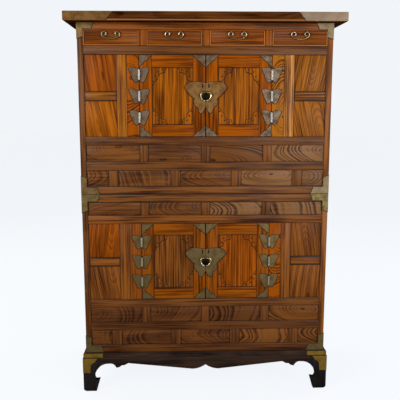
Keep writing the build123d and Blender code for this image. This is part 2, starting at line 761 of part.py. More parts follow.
def drawer(centre):
    """A drawer: a front with a raised bead, two sides, a back and a bottom let into them."""
    x, z = drawer_spans(centre)
    front_y = (FRONT_Y, FRONT_Y + DRAWER_FRONT_T)
    back_y = BACK_Y - BACK_T - DRAWER_STOP_GAP
    side_z = (UPPER_Z[7] + DRAWER_RUN, z[1] - DRAWER_TRAY_DROP)
    side_y = (front_y[1] + FIT, back_y)
    left_x = (x[0], x[0] + DRAWER_SIDE_T)
    right_x = (x[1] - DRAWER_SIDE_T, x[1])
    between_x = (left_x[1], right_x[0])
    tray_y = (front_y[1], back_y - DRAWER_SIDE_T)
    bottom_low = side_z[0] + DRAWER_BOTTOM_LIFT
    bottom = (2, between_x, tray_y, (bottom_low, bottom_low + DRAWER_BOTTOM_T))
    with BuildPart() as tray:
        board(x, front_y, z)
        board(left_x, side_y, side_z)
        board(right_x, side_y, side_z)
        board(grown(between_x, -FIT), (tray_y[1], back_y), side_z)
        cut_groove(bottom, DRAWER_GROOVE)
        add_panel(bottom, DRAWER_GROOVE)
        with BuildSketch(front_plane(FRONT_Y)):
            with Locations((centre, (z[0] + z[1]) / 2)):
                Rectangle(x[1] - x[0], z[1] - z[0])
                inner = (x[1] - x[0] - 2 * DRAWER_BEAD_W, z[1] - z[0] - 2 * DRAWER_BEAD_W)
                Rectangle(*inner, mode=Mode.SUBTRACT)
        extrude(amount=DRAWER_BEAD_RELIEF)
        for place in bail_places(centre):
            shank_hole(place, front_y)
    return tray.part


def bail_bolts(centre):
    """The two eye bolts of a drawer."""
    with BuildPart() as bolts:
        for place in bail_places(centre):
            eye_bolt(place, FRONT_Y, FRONT_Y + DRAWER_FRONT_T, BAIL_WIRE_R)
    return bolts.part


def bail(centre):
    """A drawer bail: a shallow bow whose ends rise over the eyes and curl in as scrolls."""
    _, y, z = bail_places(centre)[0]
    rest_x = BAIL_HALF_W - BAIL_CORNER_R
    rest_z = BAIL_DROP - BAIL_SCROLL_R - BAIL_CORNER_R
    bow_turn = 2 * math.degrees(math.atan2(rest_z, rest_x))
    bow_r = BAIL_CORNER_R + rest_x / math.sin(math.radians(bow_turn))
    with BuildPart() as wire:
        for side in (-1, 1):
            with BuildLine(front_plane(y)) as path:
                bow = JernArc((centre, z - BAIL_DROP), (side, 0), bow_r, bow_turn * side)
                corner = JernArc(bow @ 1, bow % 1, BAIL_CORNER_R, (90 - bow_turn) * side)
                crown = JernArc(corner @ 1, corner % 1, BAIL_SCROLL_R, 90 * side)
                fall = JernArc(crown @ 1, crown % 1, BAIL_FALL_SHARE * BAIL_SCROLL_R, 90 * side)
                JernArc(fall @ 1, fall % 1, BAIL_CURL_SHARE * BAIL_SCROLL_R, BAIL_SCROLL_TURN * side)
            with BuildSketch(Plane(origin=bow @ 0, z_dir=bow % 0)):
                Circle(BAIL_WIRE_R)
            sweep(path=path.wire())
    return wire.part


def top_board():
    """The top board, with a quirk and a rounded bead along the lower front and side edges."""
    x = BODY_X + TOP_SIDE_LIP
    front = FRONT_Y - TOP_FRONT_LIP
    low = UPPER_Z[9]
    quirk_z = (low + TOP_BEAD_H, low + TOP_BEAD_H + TOP_QUIRK)
    with BuildPart() as slab:
        board((-x, x), (front, BACK_Y), (low, low + TOP_T))
        under = slab.faces().sort_by(Axis.Z)[0].edges()
        fillet(under.filter_by(Axis.X).sort_by(Axis.Y)[:1] + under.filter_by(Axis.Y), TOP_EDGE_R)
        board((-x - OVERRUN, x + OVERRUN), (front - OVERRUN, front + TOP_QUIRK), quirk_z, Mode.SUBTRACT)
        for side in (-1, 1):
            run = beside(side, x - TOP_QUIRK, x + OVERRUN)
            board(run, (front - OVERRUN, BACK_Y + OVERRUN), quirk_z, Mode.SUBTRACT)
    return slab.part


def top_mounts():
    """The long mounts on both ends of the top board's front, bent round onto the ends."""
    low = UPPER_Z[9] + TOP_EDGE_R
    high = UPPER_Z[9] + TOP_T - MOUNT_MARGIN
    step = TOP_MOUNT_NOTCH

    def outline(length, extra):
        middle = (low + high) / 2
        end = ((length - 2 * step, low), (length - step, middle), (length, high))
        Line((0, low), end[0])
        scallops(end, (length / 2, middle))
        Polyline(end[-1], (0, high), (0, low))

    runs = (TOP_MOUNT_RUN, TOP_MOUNT_SIDE_RUN)
    with BuildPart() as mounts:
        bent_plate(-BODY_X - TOP_SIDE_LIP, FRONT_Y - TOP_FRONT_LIP, runs, outline)
        mirror(about=Plane.YZ)
    return mounts.part


def leg_outline():
    """A leg seen square on: flat outside, a curved neck inside and a toe that turns inward."""
    rise = LEG_ARCH_H - LEG_NECK_H
    spread = LEG_W - LEG_NECK_W
    hip = (LEG_NECK_W + LEG_HIP_SHARES[0] * spread, LEG_NECK_H + LEG_HIP_SHARES[1] * rise)
    heel = (TOE_REACH - TOE_LIP, TOE_H - TOE_LIP_DROP)
    instep = (
        LEG_NECK_W + LEG_INSTEP_SHARES[0] * (heel[0] - LEG_NECK_W),
        heel[1] + LEG_INSTEP_SHARES[1] * (LEG_NECK_H - heel[1]),
    )
    Polyline((SOLE_R, 0), (SOLE_W, 0), (TOE_REACH, TOE_H), heel)
    ThreePointArc(heel, instep, (LEG_NECK_W, LEG_NECK_H))
    ThreePointArc((LEG_NECK_W, LEG_NECK_H), hip, (LEG_W, LEG_ARCH_H))
    Polyline((LEG_W, LEG_ARCH_H), (LEG_W, STAND_LEG_H), (0, STAND_LEG_H), (0, SOLE_R))
    JernArc((0, SOLE_R), (0, -1), SOLE_R, 90)


def stand_legs():
    """Four corner legs, each two shaped boards that meet at the corner in one piece."""
    across = Plane(origin=(-STAND_X, STAND_FRONT_Y, 0), x_dir=(1, 0, 0), z_dir=(0, -1, 0))
    along = Plane(origin=(-STAND_X, STAND_FRONT_Y, 0), x_dir=(0, 1, 0), z_dir=(1, 0, 0))
    with BuildPart() as legs:
        for plane, depth in ((across, -LEG_T), (along, LEG_T)):
            with BuildSketch(plane):
                with BuildLine():
                    leg_outline()
                make_face()
            extrude(amount=depth)
        mirror(about=Plane.YZ)
        mirror(about=Plane.XZ.offset(-STAND_MID_Y))
    return legs.part


def apron_half(half, peaked):
    """The right half of an apron's outline: scallops next to the leg, then a run to the middle."""
    top = STAND_LEG_H - FIT

    def place(shares):
        return (half - shares[0] * APRON_END_RUN, top - shares[1] * APRON_DEPTH)

    arch = ThreePointArc((half, LEG_ARCH_H), *(place(p) for p in APRON_ARCH_SHARES))
    drop = ThreePointArc(arch @ 1, *(place(p) for p in APRON_DROP_SHARES))
    lobe = ThreePointArc(drop @ 1, *(place(p) for p in APRON_LOBE_SHARES[:2]))
    step = Polyline(lobe @ 1, place(APRON_LOBE_SHARES[2]), place((1, APRON_CREST_SHARE)))
    if peaked:
        slope = Line(step @ 1, (APRON_MID_RUN, top - APRON_DEPTH))
        dip = (APRON_DIP_SHARES[0] * APRON_MID_RUN, top - APRON_DIP_SHARES[1] * APRON_DEPTH)
        last = ThreePointArc(slope @ 1, dip, (0, top - APRON_PEAK_SHARE * APRON_DEPTH))
    else:
        last = Line(step @ 1, (0, top - APRON_CREST_SHARE * APRON_DEPTH))
    Polyline(last @ 1, (0, top), (half, top), (half, LEG_ARCH_H))


def stand_aprons():
    """The scalloped front apron, the two side aprons and a plain one at the back."""
    front_half = STAND_X - LEG_W - FIT
    side_half = BACK_Y - STAND_MID_Y - LEG_W - FIT
    top = STAND_LEG_H - FIT
    with BuildPart() as aprons:
        with BuildSketch(front_plane(STAND_FRONT_Y + APRON_SET_BACK)):
            with BuildLine():
                apron_half(front_half, True)
            make_face()
            mirror(about=Plane.YZ)
        extrude(amount=-APRON_T)
        side_plane = Plane(
            origin=(-STAND_X + APRON_SET_BACK, STAND_MID_Y, 0), x_dir=(0, 1, 0), z_dir=(1, 0, 0)
        )
        with BuildSketch(side_plane):
            with BuildLine():
                apron_half(side_half, False)
            make_face()
            mirror(about=Plane.YZ)
        extrude(amount=APRON_T)
        mirror(about=Plane.YZ)
        back_y = (BACK_Y - APRON_SET_BACK - APRON_T, BACK_Y - APRON_SET_BACK)
        board((-front_half, front_half), back_y, (top - BACK_APRON_DEPTH, top))
    return aprons.part


def stand_top_frame():
    """Four rails with rounded outer edges, the short ones fitted between the long ones."""
    x = BODY_X + STAND_RAIL_OVER
    front = FRONT_Y - STAND_RAIL_OVER
    z = (STAND_LEG_H, STAND_H)
    with BuildPart() as rails:
        board((-x, x), (front, front + STAND_RAIL_W), z)
        board((-x, x), (BACK_Y - STAND_RAIL_W, BACK_Y), z)
        for side in (-1, 1):
            cross_y = (front + STAND_RAIL_W + FIT, BACK_Y - STAND_RAIL_W - FIT)
            board(beside(side, x - STAND_RAIL_W, x), cross_y, z)
        fillet(rails.edges().filter_by(Axis.X).group_by(Axis.Y)[0], STAND_RAIL_R)
        fillet(rails.edges().filter_by(Axis.Y).group_by(Axis.X)[0], STAND_RAIL_R)
        fillet(rails.edges().filter_by(Axis.Y).group_by(Axis.X)[-1], STAND_RAIL_R)
    return rails.part


def stand_mounts():
    """The mounts on the stand's front corners: a band on the rail and a scalloped one on the leg."""
    top = STAND_LEG_H - MOUNT_MARGIN
    foot = top - LEG_MOUNT_H
    band_z = (STAND_LEG_H + STAND_RAIL_R, STAND_H - STAND_RAIL_R)

    def leg_plate(length, extra):
        band = LEG_MOUNT_BAND_W + extra
        edge = [(length, top)]
        edge += [(band + a * (length - band), top - b * LEG_MOUNT_H) for a, b in LEG_MOUNT_SHARES]
        Line((0, top), edge[0])
        scallops(edge, (0, top))
        Polyline(edge[-1], (band, foot), (0, foot), (0, top))

    def rail_band(length, extra):
        Polyline((0, band_z[0]), (length, band_z[0]), (length, band_z[1]), (0, band_z[1]), close=True)

    with BuildPart() as mounts:
        bent_plate(-STAND_X, STAND_FRONT_Y, (LEG_MOUNT_W, LEG_MOUNT_W), leg_plate)
        rail_runs = (STAND_MOUNT_RUN, STAND_MOUNT_SIDE_RUN)
        bent_plate(-BODY_X - STAND_RAIL_OVER, FRONT_Y - STAND_RAIL_OVER, rail_runs, rail_band)
        mirror(about=Plane.YZ)
    return mounts.part


# The stand.
write(stand_legs(), "stand_legs")
write(stand_aprons(), "stand_aprons")
write(stand_top_frame(), "stand_top_frame")
write(stand_mounts(), "stand_mounts")

# The two chests: the lower one has a panel row over its doors, the upper one drawers.
lower_front = front_fields(LOWER_Z) + row_fields(LOWER_Z[7:9], HIGH_CENTRES, HIGH_DIVIDER_W)
upper_front = front_fields(UPPER_Z)
lower_boards = [board_field(LOWER_Z[0] + BOARD_LIFT), board_field(LOWER_Z[9] - BOARD_LIFT - BOARD_T)]
upper_floor = board_field(UPPER_Z[0] + BOARD_LIFT)
upper_deck = board_field(UPPER_Z[7] - BOARD_T)
chests = (
    ("lower", LOWER_Z, lower_front, lower_boards, lower_boards, HIGH_CENTRES, HIGH_DIVIDER_W),
    (
        "upper",
        UPPER_Z,
        upper_front,
        [upper_floor, upper_deck],
        [upper_floor],
        DRAWER_DIVIDER_CENTRES,
        DRAWER_DIVIDER_W,
    ),
)
for chest, chest_z, fronts, level_boards, plain_boards, dividers, divider_w in chests:
    fields_all = fronts + side_fields(chest_z) + back_fields(chest_z) + level_boards
    write(corner_posts(chest_z, fields_all), f"{chest}_corner_posts")
    write(front_frame(chest_z, dividers, divider_w, fronts + level_boards), f"{chest}_front_frame")
    write(panels(fronts), f"{chest}_front_panels")
    write(sides(chest_z, side_fields(chest_z) + level_boards), f"{chest}_sides")
    write(back(chest_z, back_fields(chest_z) + level_boards), f"{chest}_back")
    write(inner_boards(chest_z, plain_boards), f"{chest}_inner_boards")
    write(stile_hinge_leaves(chest_z), f"{chest}_stile_hinge_leaves")
    for door_side, hand in ((-1, "left"), (1, "right")):
        door = f"{chest}_{hand}_door"
        write(door_frame(door_side, chest_z), f"{door}_frame")
        write(door_panel(door_side, chest_z), f"{door}_panel")
        write(door_mounts(door_side, chest_z), f"{door}_corner_mounts")
        write(door_hinge_leaves(door_side, chest_z), f"{door}_hinge_leaves")
        write(lock_plate(door_side, chest_z), f"{door}_lock_plate")
        write(door_pull(door_side, chest_z), f"{door}_pull")

write(corner_mounts(LOWER_Z, MOUNT_RUN, MOUNT_RISE, MOUNT_BAND_H), "lower_corner_mounts")
write(
    corner_mounts(UPPER_Z, FRIEZE_MOUNT_RUN, FRIEZE_MOUNT_RISE, FRIEZE_MOUNT_BAND_H),
    "upper_corner_mounts",
)

# Drawers and top of the upper chest.
write(drawer_deck(upper_deck), "drawer_deck")
for number, place in enumerate((-1.5, -0.5, 0.5, 1.5), start=1):
    drawer_x = place * DRAWER_PITCH
    write(drawer(drawer_x), f"drawer_{number}")
    write(bail_bolts(drawer_x), f"drawer_{number}_eye_bolts")
    write(bail(drawer_x), f"drawer_{number}_bail")
write(top_board(), "top_board")
write(top_mounts(), "top_mounts")
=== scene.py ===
# %% [markdown]
# # A cabinet of two stacked chests
# The cabinet is oiled wood with sheet-metal mounts: a lower and an upper chest on a footed stand.
# Its solids come ready made as a fixed frame, in metres, with the front facing -Y and Z up.
# This lesson gives every board its own grain, edges and stain, every mount its tarnish, and adds
# the small metalwork that is too fine for the solids.

# %% Load the frame
import json
import math
import random

import bpy
import numpy as np
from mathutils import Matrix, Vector

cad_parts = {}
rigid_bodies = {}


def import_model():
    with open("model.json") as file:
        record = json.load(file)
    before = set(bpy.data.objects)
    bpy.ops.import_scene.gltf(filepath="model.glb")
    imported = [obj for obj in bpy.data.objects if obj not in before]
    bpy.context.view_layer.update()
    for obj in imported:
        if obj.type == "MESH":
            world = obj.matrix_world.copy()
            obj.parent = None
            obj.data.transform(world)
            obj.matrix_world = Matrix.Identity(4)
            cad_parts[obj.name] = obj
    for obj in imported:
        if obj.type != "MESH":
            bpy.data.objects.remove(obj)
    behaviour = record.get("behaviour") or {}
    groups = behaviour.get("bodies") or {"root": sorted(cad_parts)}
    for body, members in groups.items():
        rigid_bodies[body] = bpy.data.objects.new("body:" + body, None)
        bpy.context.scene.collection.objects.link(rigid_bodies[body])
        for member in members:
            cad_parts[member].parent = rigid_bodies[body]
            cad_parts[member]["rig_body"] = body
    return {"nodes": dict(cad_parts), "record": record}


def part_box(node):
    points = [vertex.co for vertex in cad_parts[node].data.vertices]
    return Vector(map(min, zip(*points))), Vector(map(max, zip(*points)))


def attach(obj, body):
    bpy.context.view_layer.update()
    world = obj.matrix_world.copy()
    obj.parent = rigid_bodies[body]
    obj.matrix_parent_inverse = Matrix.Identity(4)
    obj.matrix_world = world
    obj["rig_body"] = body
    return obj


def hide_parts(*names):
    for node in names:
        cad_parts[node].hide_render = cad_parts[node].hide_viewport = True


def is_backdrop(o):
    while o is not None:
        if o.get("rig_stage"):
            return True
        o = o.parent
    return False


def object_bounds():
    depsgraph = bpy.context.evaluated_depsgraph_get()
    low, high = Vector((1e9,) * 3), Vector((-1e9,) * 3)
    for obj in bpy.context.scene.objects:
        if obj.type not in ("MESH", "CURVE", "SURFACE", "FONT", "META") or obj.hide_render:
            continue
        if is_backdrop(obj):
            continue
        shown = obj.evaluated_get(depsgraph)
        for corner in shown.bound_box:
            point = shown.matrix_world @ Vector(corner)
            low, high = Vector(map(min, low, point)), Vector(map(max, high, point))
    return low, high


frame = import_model()
cad_low, cad_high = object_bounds()
SLOTS = {part["node"]: part["material_slot"] for part in frame["record"]["subparts"]}

# %% [markdown]
# ## The camera
# The picture was taken from in front, a little above the middle of the cabinet and slightly to
# its left. The camera stands there: its place, its small tilts and its lens were found once by
# lining up the straight edges of the front.

# %% Camera
SENSOR_WIDTH = 36.0
FOCAL_LENGTH = 53.17
CAMERA_PLACE = (-0.0986, -2.6585, 1.2291)
CAMERA_DIP = 8.97
CAMERA_TURN = -1.75

scene = bpy.context.scene
lens = bpy.data.cameras.new("front_view")
lens.sensor_width = SENSOR_WIDTH
lens.lens = FOCAL_LENGTH
camera = bpy.data.objects.new("front_view", lens)
scene.collection.objects.link(camera)
camera.location = CAMERA_PLACE
camera.rotation_euler = (math.radians(90.0 - CAMERA_DIP), 0.0, math.radians(CAMERA_TURN))
scene.camera = camera
print("camera at", tuple(camera.location))

# %% [markdown]
# ## A first helper: shader sums in plain Python
# Finishes are made of nodes, and long chains of Math nodes are hard to read. This small class
# wraps a socket, so that a sum on sockets adds its own nodes. One method makes every other node.

# %% Socket wrapper
class Value:
    """A node socket that takes part in sums, each of which adds one Math node to its finish."""

    def __init__(self, finish, socket):
        self.finish = finish
        self.socket = socket

    def math(self, operation, *values):
        return self.finish.node("Math", dict(enumerate(values)), operation=operation)

    def __add__(self, other):
        return self.math("ADD", self, other)

    def __sub__(self, other):
        return self.math("SUBTRACT", self, other)

    def __rsub__(self, other):
        return self.math("SUBTRACT", other, self)

    def __mul__(self, other):
        return self.math("MULTIPLY", self, other)

    def __truediv__(self, other):
        return self.math("DIVIDE", self, other)

    def __abs__(self):
        return self.math("ABSOLUTE", self)

    __radd__ = __add__
    __rmul__ = __mul__

    def least(self, other):
        return self.math("MINIMUM", self, other)

    def rise(self, low, high):
        """0 below low, 1 above high and a smooth rise between them."""
        sockets = {"Value": self, "From Min": low, "From Max": high}
        return self.finish.node("MapRange", sockets, interpolation_type="SMOOTHSTEP")

    def fall(self, low, high):
        """1 below low, 0 above high and a smooth fall between them."""
        return 1.0 - self.rise(low, high)

    def between(self, low, full, ebb, high):
        """1 from full to ebb, 0 below low and above high."""
        return self.rise(low, full) * self.fall(ebb, high)


class Finish:
    """A material under construction."""

    def __init__(self, name):
        self.material = bpy.data.materials.new(name)
        self.material.use_nodes = True
        self.tree = self.material.node_tree
        self.shader = self.tree.nodes["Principled BSDF"]

    def node(self, kind, sockets=None, out=0, **settings):
        """Any node: its type, its settings, what goes into its sockets, and which output to use."""
        made = self.tree.nodes.new("ShaderNode" + kind)
        for key, value in settings.items():
            setattr(made, key, value)
        for key, value in (sockets or {}).items():
            self.feed(made.inputs[key], value)
        return Value(self, made.outputs[out])

    def feed(self, socket, value):
        if isinstance(value, Value):
            self.tree.links.new(value.socket, socket)
        else:
            socket.default_value = value

    def set(self, **values):
        """Feeds sockets of the main shader, with _ for a space in their names."""
        for key, value in values.items():
            self.feed(self.shader.inputs[key.replace("_", " ")], value)

    def attribute(self, name, out="Vector"):
        return self.node("Attribute", out=out, attribute_name=name)

    def split(self, vector):
        made = self.tree.nodes.new("ShaderNodeSeparateXYZ")
        self.feed(made.inputs[0], vector)
        return [Value(self, socket) for socket in made.outputs]

    def join(self, x, y, z):
        return self.node("CombineXYZ", {"X": x, "Y": y, "Z": z})

    def noise(self, vector, scale, detail=2.0, out="Fac"):
        return self.node("TexNoise", {"Vector": vector, "Scale": scale, "Detail": detail}, out=out)

    def blend(self, share, first, second, kind="MIX"):
        """Colours: from the first to the second by a share."""
        sockets = {"Factor": share, 6: first, 7: second}
        return self.node("Mix", sockets, out=2, data_type="RGBA", blend_type=kind)

    def bump(self, height, strength, distance):
        sockets = {"Strength": strength, "Distance": distance, "Height": height}
        self.set(Normal=self.node("Bump", sockets))


def tint(red, green, blue, share=1.0):
    """A colour given as it looks on a screen, from 0 to 255, as the light that nodes work with."""
    light = [((c / 255 + 0.055) / 1.055) ** 2.4 if c > 10 else c / 255 / 12.92 for c in (red, green, blue)]
    return (*(c * share for c in light), 1.0)


print("helpers ready")

# %% [markdown]
# ## The studio
# A plain pale room: the floor and the world share one colour, so no horizon shows. The room is
# bright to the eye but gives only a little light, so that polish and metal don't turn milky.
# A large soft light from the left does the modelling. A tall one near the camera stands where the
# front mirrors it, and puts the satin sheen on the right side. The rest serve the other sides.

# %% Floor, world and lights
PAPER = (241, 245, 249)
ROOM_LIGHT = 0.2
FLOOR_SIZE = 60.0
FLOOR_DROP = 0.0005
FLOOR_GLOW = 0.98
FLOOR_BASE = (0.05, 0.051, 0.053, 1.0)

bpy.ops.object.select_all(action="DESELECT")
bpy.ops.mesh.primitive_plane_add(size=FLOOR_SIZE, location=(0.0, 0.0, -FLOOR_DROP))
floor = bpy.context.object
floor.name = "floor"
floor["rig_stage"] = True
paper = Finish("pale_paper")
looked_at = paper.node("LightPath", out="Is Camera Ray")
glow = paper.blend(looked_at, tint(*PAPER, ROOM_LIGHT), tint(*PAPER))
paper.set(Base_Color=FLOOR_BASE, Roughness=1.0, Specular_IOR_Level=0.0)
paper.set(Emission_Color=glow, Emission_Strength=FLOOR_GLOW)
floor.data.materials.append(paper.material)

world = bpy.data.worlds.new("pale_room")
scene.world = world
world.use_nodes = True
room = world.node_tree
seen = room.nodes.new("ShaderNodeLightPath")
strength = room.nodes.new("ShaderNodeMath")
strength.operation = "MULTIPLY_ADD"
strength.inputs[1].default_value = 1.0 - ROOM_LIGHT
strength.inputs[2].default_value = ROOM_LIGHT
room.links.new(seen.outputs["Is Camera Ray"], strength.inputs[0])
room.links.new(strength.outputs[0], room.nodes["Background"].inputs["Strength"])
room.nodes["Background"].inputs["Color"].default_value = tint(*PAPER)
scene.view_settings.view_transform = "Standard"


def soft_light(name, place, target, size, power, colour):
    """An area light of some width and height that faces a point."""
    data = bpy.data.lights.new(name, "AREA")
    data.shape = "RECTANGLE"
    data.size, data.size_y = size
    data.energy = power
    data.color = colour
    light = bpy.data.objects.new(name, data)
    light.visible_camera = False
    scene.collection.objects.link(light)
    light.location = place
    aim = Vector(place) - Vector(target)
    light.rotation_euler = aim.to_track_quat("Z", "Y").to_euler()


WARM, COOL = (1.0, 0.95, 0.88), (0.96, 0.97, 1.0)
soft_light("key", (-2.4, -2.5, 1.9), (0.0, -0.2, 0.9), (1.5, 1.5), 120.0, WARM)
soft_light("fill", (2.7, -2.1, 1.3), (0.0, -0.2, 0.8), (1.3, 1.3), 60.0, COOL)
soft_light("sheen", (1.1, -2.5, 1.2), (0.3, -0.2, 1.0), (0.5, 1.2), 30.0, COOL)
soft_light("over", (0.0, 0.2, 3.6), (0.0, 0.0, 1.6), (1.8, 1.8), 60.0, WARM)
soft_light("right_back", (2.8, 1.6, 2.2), (0.0, 0.0, 0.9), (1.6, 1.6), 60.0, COOL)
soft_light("left_back", (-2.8, 1.9, 2.4), (0.0, 0.0, 0.9), (1.6, 1.6), 80.0, WARM)

# %% [markdown]
# ## Wood that knows its board
# In a real panel the rings of the tree show as arches, and in a rail as fine straight lines,
# because each was cut from another place in the trunk. So every board carries its own
# coordinates: along, across and through the board, measured from its middle, and the same again
# moved to its place in an imagined trunk. The finish draws rings about the trunk's leaning axis.
# A pitch here is how often a pattern repeats in a metre, along the board and across it.

# %% Grain
RING = 0.0075  # one year's growth
SIDE_SWAY = 0.03  # how far the trunk's axis wanders to the side
LEAN_SWAY = 0.17  # how far it wanders along its lean
YEAR_PITCH = 38.0  # how often good and bad years change, outwards from the axis
YEAR_DRIFT = 3.5  # how many rings uneven years shift the pattern
SWAY_DRIFT = 1.2  # how many rings the sway does
LATE_WOOD = (0.25, 0.85, 0.86, 1.0)  # where in a year the dark wood starts, is full, ebbs and ends
EARLY_WOOD = (0.0, 0.06, 0.1, 0.3)  # the same for the pale wood
STRONG_YEARS = (0.3, 0.6)  # the levels of noise at which a year starts to show and shows in full
PALE_YEARS = (0.4, 0.65)
SWAY_PITCH = (3.5, 7.0)


def grain_noise(finish, place, pitch, detail, out="Fac"):
    """Noise with one pitch along the board and another across and through it."""
    along, across, through = place
    spot = finish.join(along * pitch[0], across * pitch[1], through * pitch[1])
    return finish.noise(spot, 1.0, detail, out)


def rings(finish, place, lean):
    """The dark late wood and the pale early wood of the years, about a trunk that leans and sways."""
    along, across, through = place
    sway = finish.split(grain_noise(finish, place, SWAY_PITCH, 1.0, "Color"))
    trunk_across = across + (sway[0] - 0.5) * SIDE_SWAY
    trunk_through = through + along * lean + (sway[1] - 0.5) * (LEAN_SWAY * lean)
    from_axis = finish.join(trunk_across, trunk_through, 0.0)
    radius = finish.node("VectorMath", {0: from_axis}, "Value", operation="LENGTH")
    years = finish.noise(finish.join(radius * YEAR_PITCH, 0.0, 0.0), 1.0, 1.0, "Color")
    drift, strong_year, pale_year = finish.split(years)
    turn = radius / RING + drift * YEAR_DRIFT + sway[2] * SWAY_DRIFT
    phase = turn.math("FRACT", turn)
    late = phase.between(*LATE_WOOD) * strong_year.rise(*STRONG_YEARS)
    early = phase.between(*EARLY_WOOD) * pale_year.rise(*PALE_YEARS)
    return late, early


print("one year is", RING, "m wide")

# %% [markdown]
# ## Dirt, painted shade and painted highlights
# The board's own coordinates and half sizes give the distance from its edge and the depth below its
# face. Dirt and painted shade lie along the edges, where joints, grooves and recesses are in shade. The
# beads of the drawers and of the top board get a painted highlight, and so do the slopes of the
# carving, while its dots are painted dark, as the shade in a hole, and so are the quirks by the beads.

# %% Dirt, painted shade and painted highlights
# the colour of dirt and painted shade along the edges, in the quirks and in the carved dots
EDGE_DIRT_AND_SHADE = (0.010, 0.006, 0.004, 1.0)
HIGHLIGHT_EDGE = (3.0, 3.4, 5.0, 1.0)  # the stain times this is a painted highlight
TOP_HIGHLIGHT_EDGE = (4.6, 5.8, 8.5, 1.0)  # and on the top board times this
BEAD_HIGHLIGHT = 0.8  # how strong the painted highlight on the beads is
BEAD_SHADE = 0.8  # how much less so along the top of a drawer, as a painted shade
# how strong the painted highlight on the carving's slopes is
SLOPE_HIGHLIGHT = 0.6
SOFT = 0.0008  # how far an edge of dirt or wear is blurred
CARVING = 0.0025  # height of the carved corners over the panel
BEAD = 0.004  # width of the bead round a drawer
BEAD_FADE = 0.001
BEAD_QUIRK = (BEAD - 0.0005, BEAD, BEAD + 0.001, BEAD + 0.003)  # insets of the dark line within it, a painted shade in the quirk
QUIRK_SHADE = 0.7
TOP_BEAD = (0.001, 0.003, 0.006, 0.008)  # heights of the top board's bead over its underside
TOP_QUIRK = (0.0, 0.0006)
# how dark the quirk under the top board's bead is: dirt and painted shade
TOP_DIRT_AND_SHADE = 0.2
CARVED_SLOPE = (0.0001, 0.0004, 0.0018, 0.0023)  # depths of the carving's sloping edge
# where the sunk dots of the carving are painted dark, as shade in a hole
DOT_DEPTH = (CARVING + 0.0003, CARVING + SOFT)
DOT_INSET = (0.002, 0.003)


def edge_dirt_and_painted_light(finish, name, colour, stain, margin, dirt_and_shade_width):
    """The colour of the wood with dirt and painted shade along the board's edges, and painted highlights
    and shade where this kind has them.
    """
    spot = finish.split(finish.attribute("spot"))
    reach = finish.split(finish.attribute("reach"))
    inset = (reach[0] - abs(spot[0])).least(reach[1] - abs(spot[1])) - margin
    depth = reach[2] - abs(spot[2])
    on_face = depth.fall(CARVING, CARVING + SOFT)
    # dirt and painted shade along the edges of the face
    shade_and_dirt = inset.fall(0.0, dirt_and_shade_width) * on_face * finish.attribute("stain", "Alpha")
    highlight = finish.blend(1.0, stain, TOP_HIGHLIGHT_EDGE if "top" in name else HIGHLIGHT_EDGE, "MULTIPLY")
    # a drawer's bead gets a painted highlight, less along its top as a painted shade, and its quirk a
    # painted shade
    if "drawer" in name:
        under_top = (spot[1] - reach[1]).rise(-BEAD - BEAD_FADE, -BEAD)
        rim = inset.fall(BEAD - SOFT, BEAD) * on_face * (1.0 - under_top * BEAD_SHADE)
        colour = finish.blend(rim * BEAD_HIGHLIGHT, colour, highlight)
        shade_and_dirt = inset.between(*BEAD_QUIRK) * QUIRK_SHADE
    # the top board's bead gets a painted highlight, the quirk under it dirt and painted shade
    if "top" in name:
        height = spot[2] + reach[2]
        colour = finish.blend(height.between(*TOP_BEAD) * BEAD_HIGHLIGHT, colour, highlight)
        shade_and_dirt = height.fall(*TOP_QUIRK) * TOP_DIRT_AND_SHADE
    # the carving's slopes get a painted highlight and its sunk dots painted shade
    if "carved" in name:
        colour = finish.blend(depth.between(*CARVED_SLOPE) * SLOPE_HIGHLIGHT, colour, highlight)
        shade_and_dirt = (shade_and_dirt + depth.rise(*DOT_DEPTH) * inset.rise(*DOT_INSET)).least(1.0)
    return finish.blend(shade_and_dirt, colour, EDGE_DIRT_AND_SHADE)


print("carving is", CARVING, "m deep")

# %% [markdown]
# ## The woods
# One finish serves every board. What differs is how the board lay in the trunk, how strong its
# streaks, rings and clouds are, how far the dirt and painted shade reach and how the polish shines.
# The dirt and painted shade of a panel start where its edge comes out of the groove, a margin away
# from the edge itself.

# %% Wood finishes
STREAK_PITCH = (4.0, 130.0)
FIBRE_PITCH = (24.0, 800.0)
CLOUD_PITCH = (5.0, 18.0)
MIDDLE = (0.3, 0.7)  # where noise has most of its values
PORES = (0.5, 0.8)
PORE_SHARE = 0.14
EARLY_SHARE = 0.9
MEAN_TONE = 0.55
CONTRAST = 1.35
DARK_TONES = (0.0, 0.55)
LIGHT_TONES = (0.5, 1.0)
DEEP_GRAIN = (0.30, 0.22, 0.16, 1.0)  # the stain times this is the darkest grain
WARM_GRAIN = (1.8, 1.85, 1.5, 1.0)  # and times this the lightest
FIBRE_ROUGH = 0.1
LATE_ROUGH = 0.08
GRAIN_BUMP = 0.25
GRAIN_DEPTH = 0.0004
LEANS = {"bold_row": 0.33, "calm_row": 0.33, "flank": 0.17, "tiger": 0.45}
STRAIGHT = 0.02  # the lean for straight lines
MARGIN = 0.007  # how much of a panel is in its groove


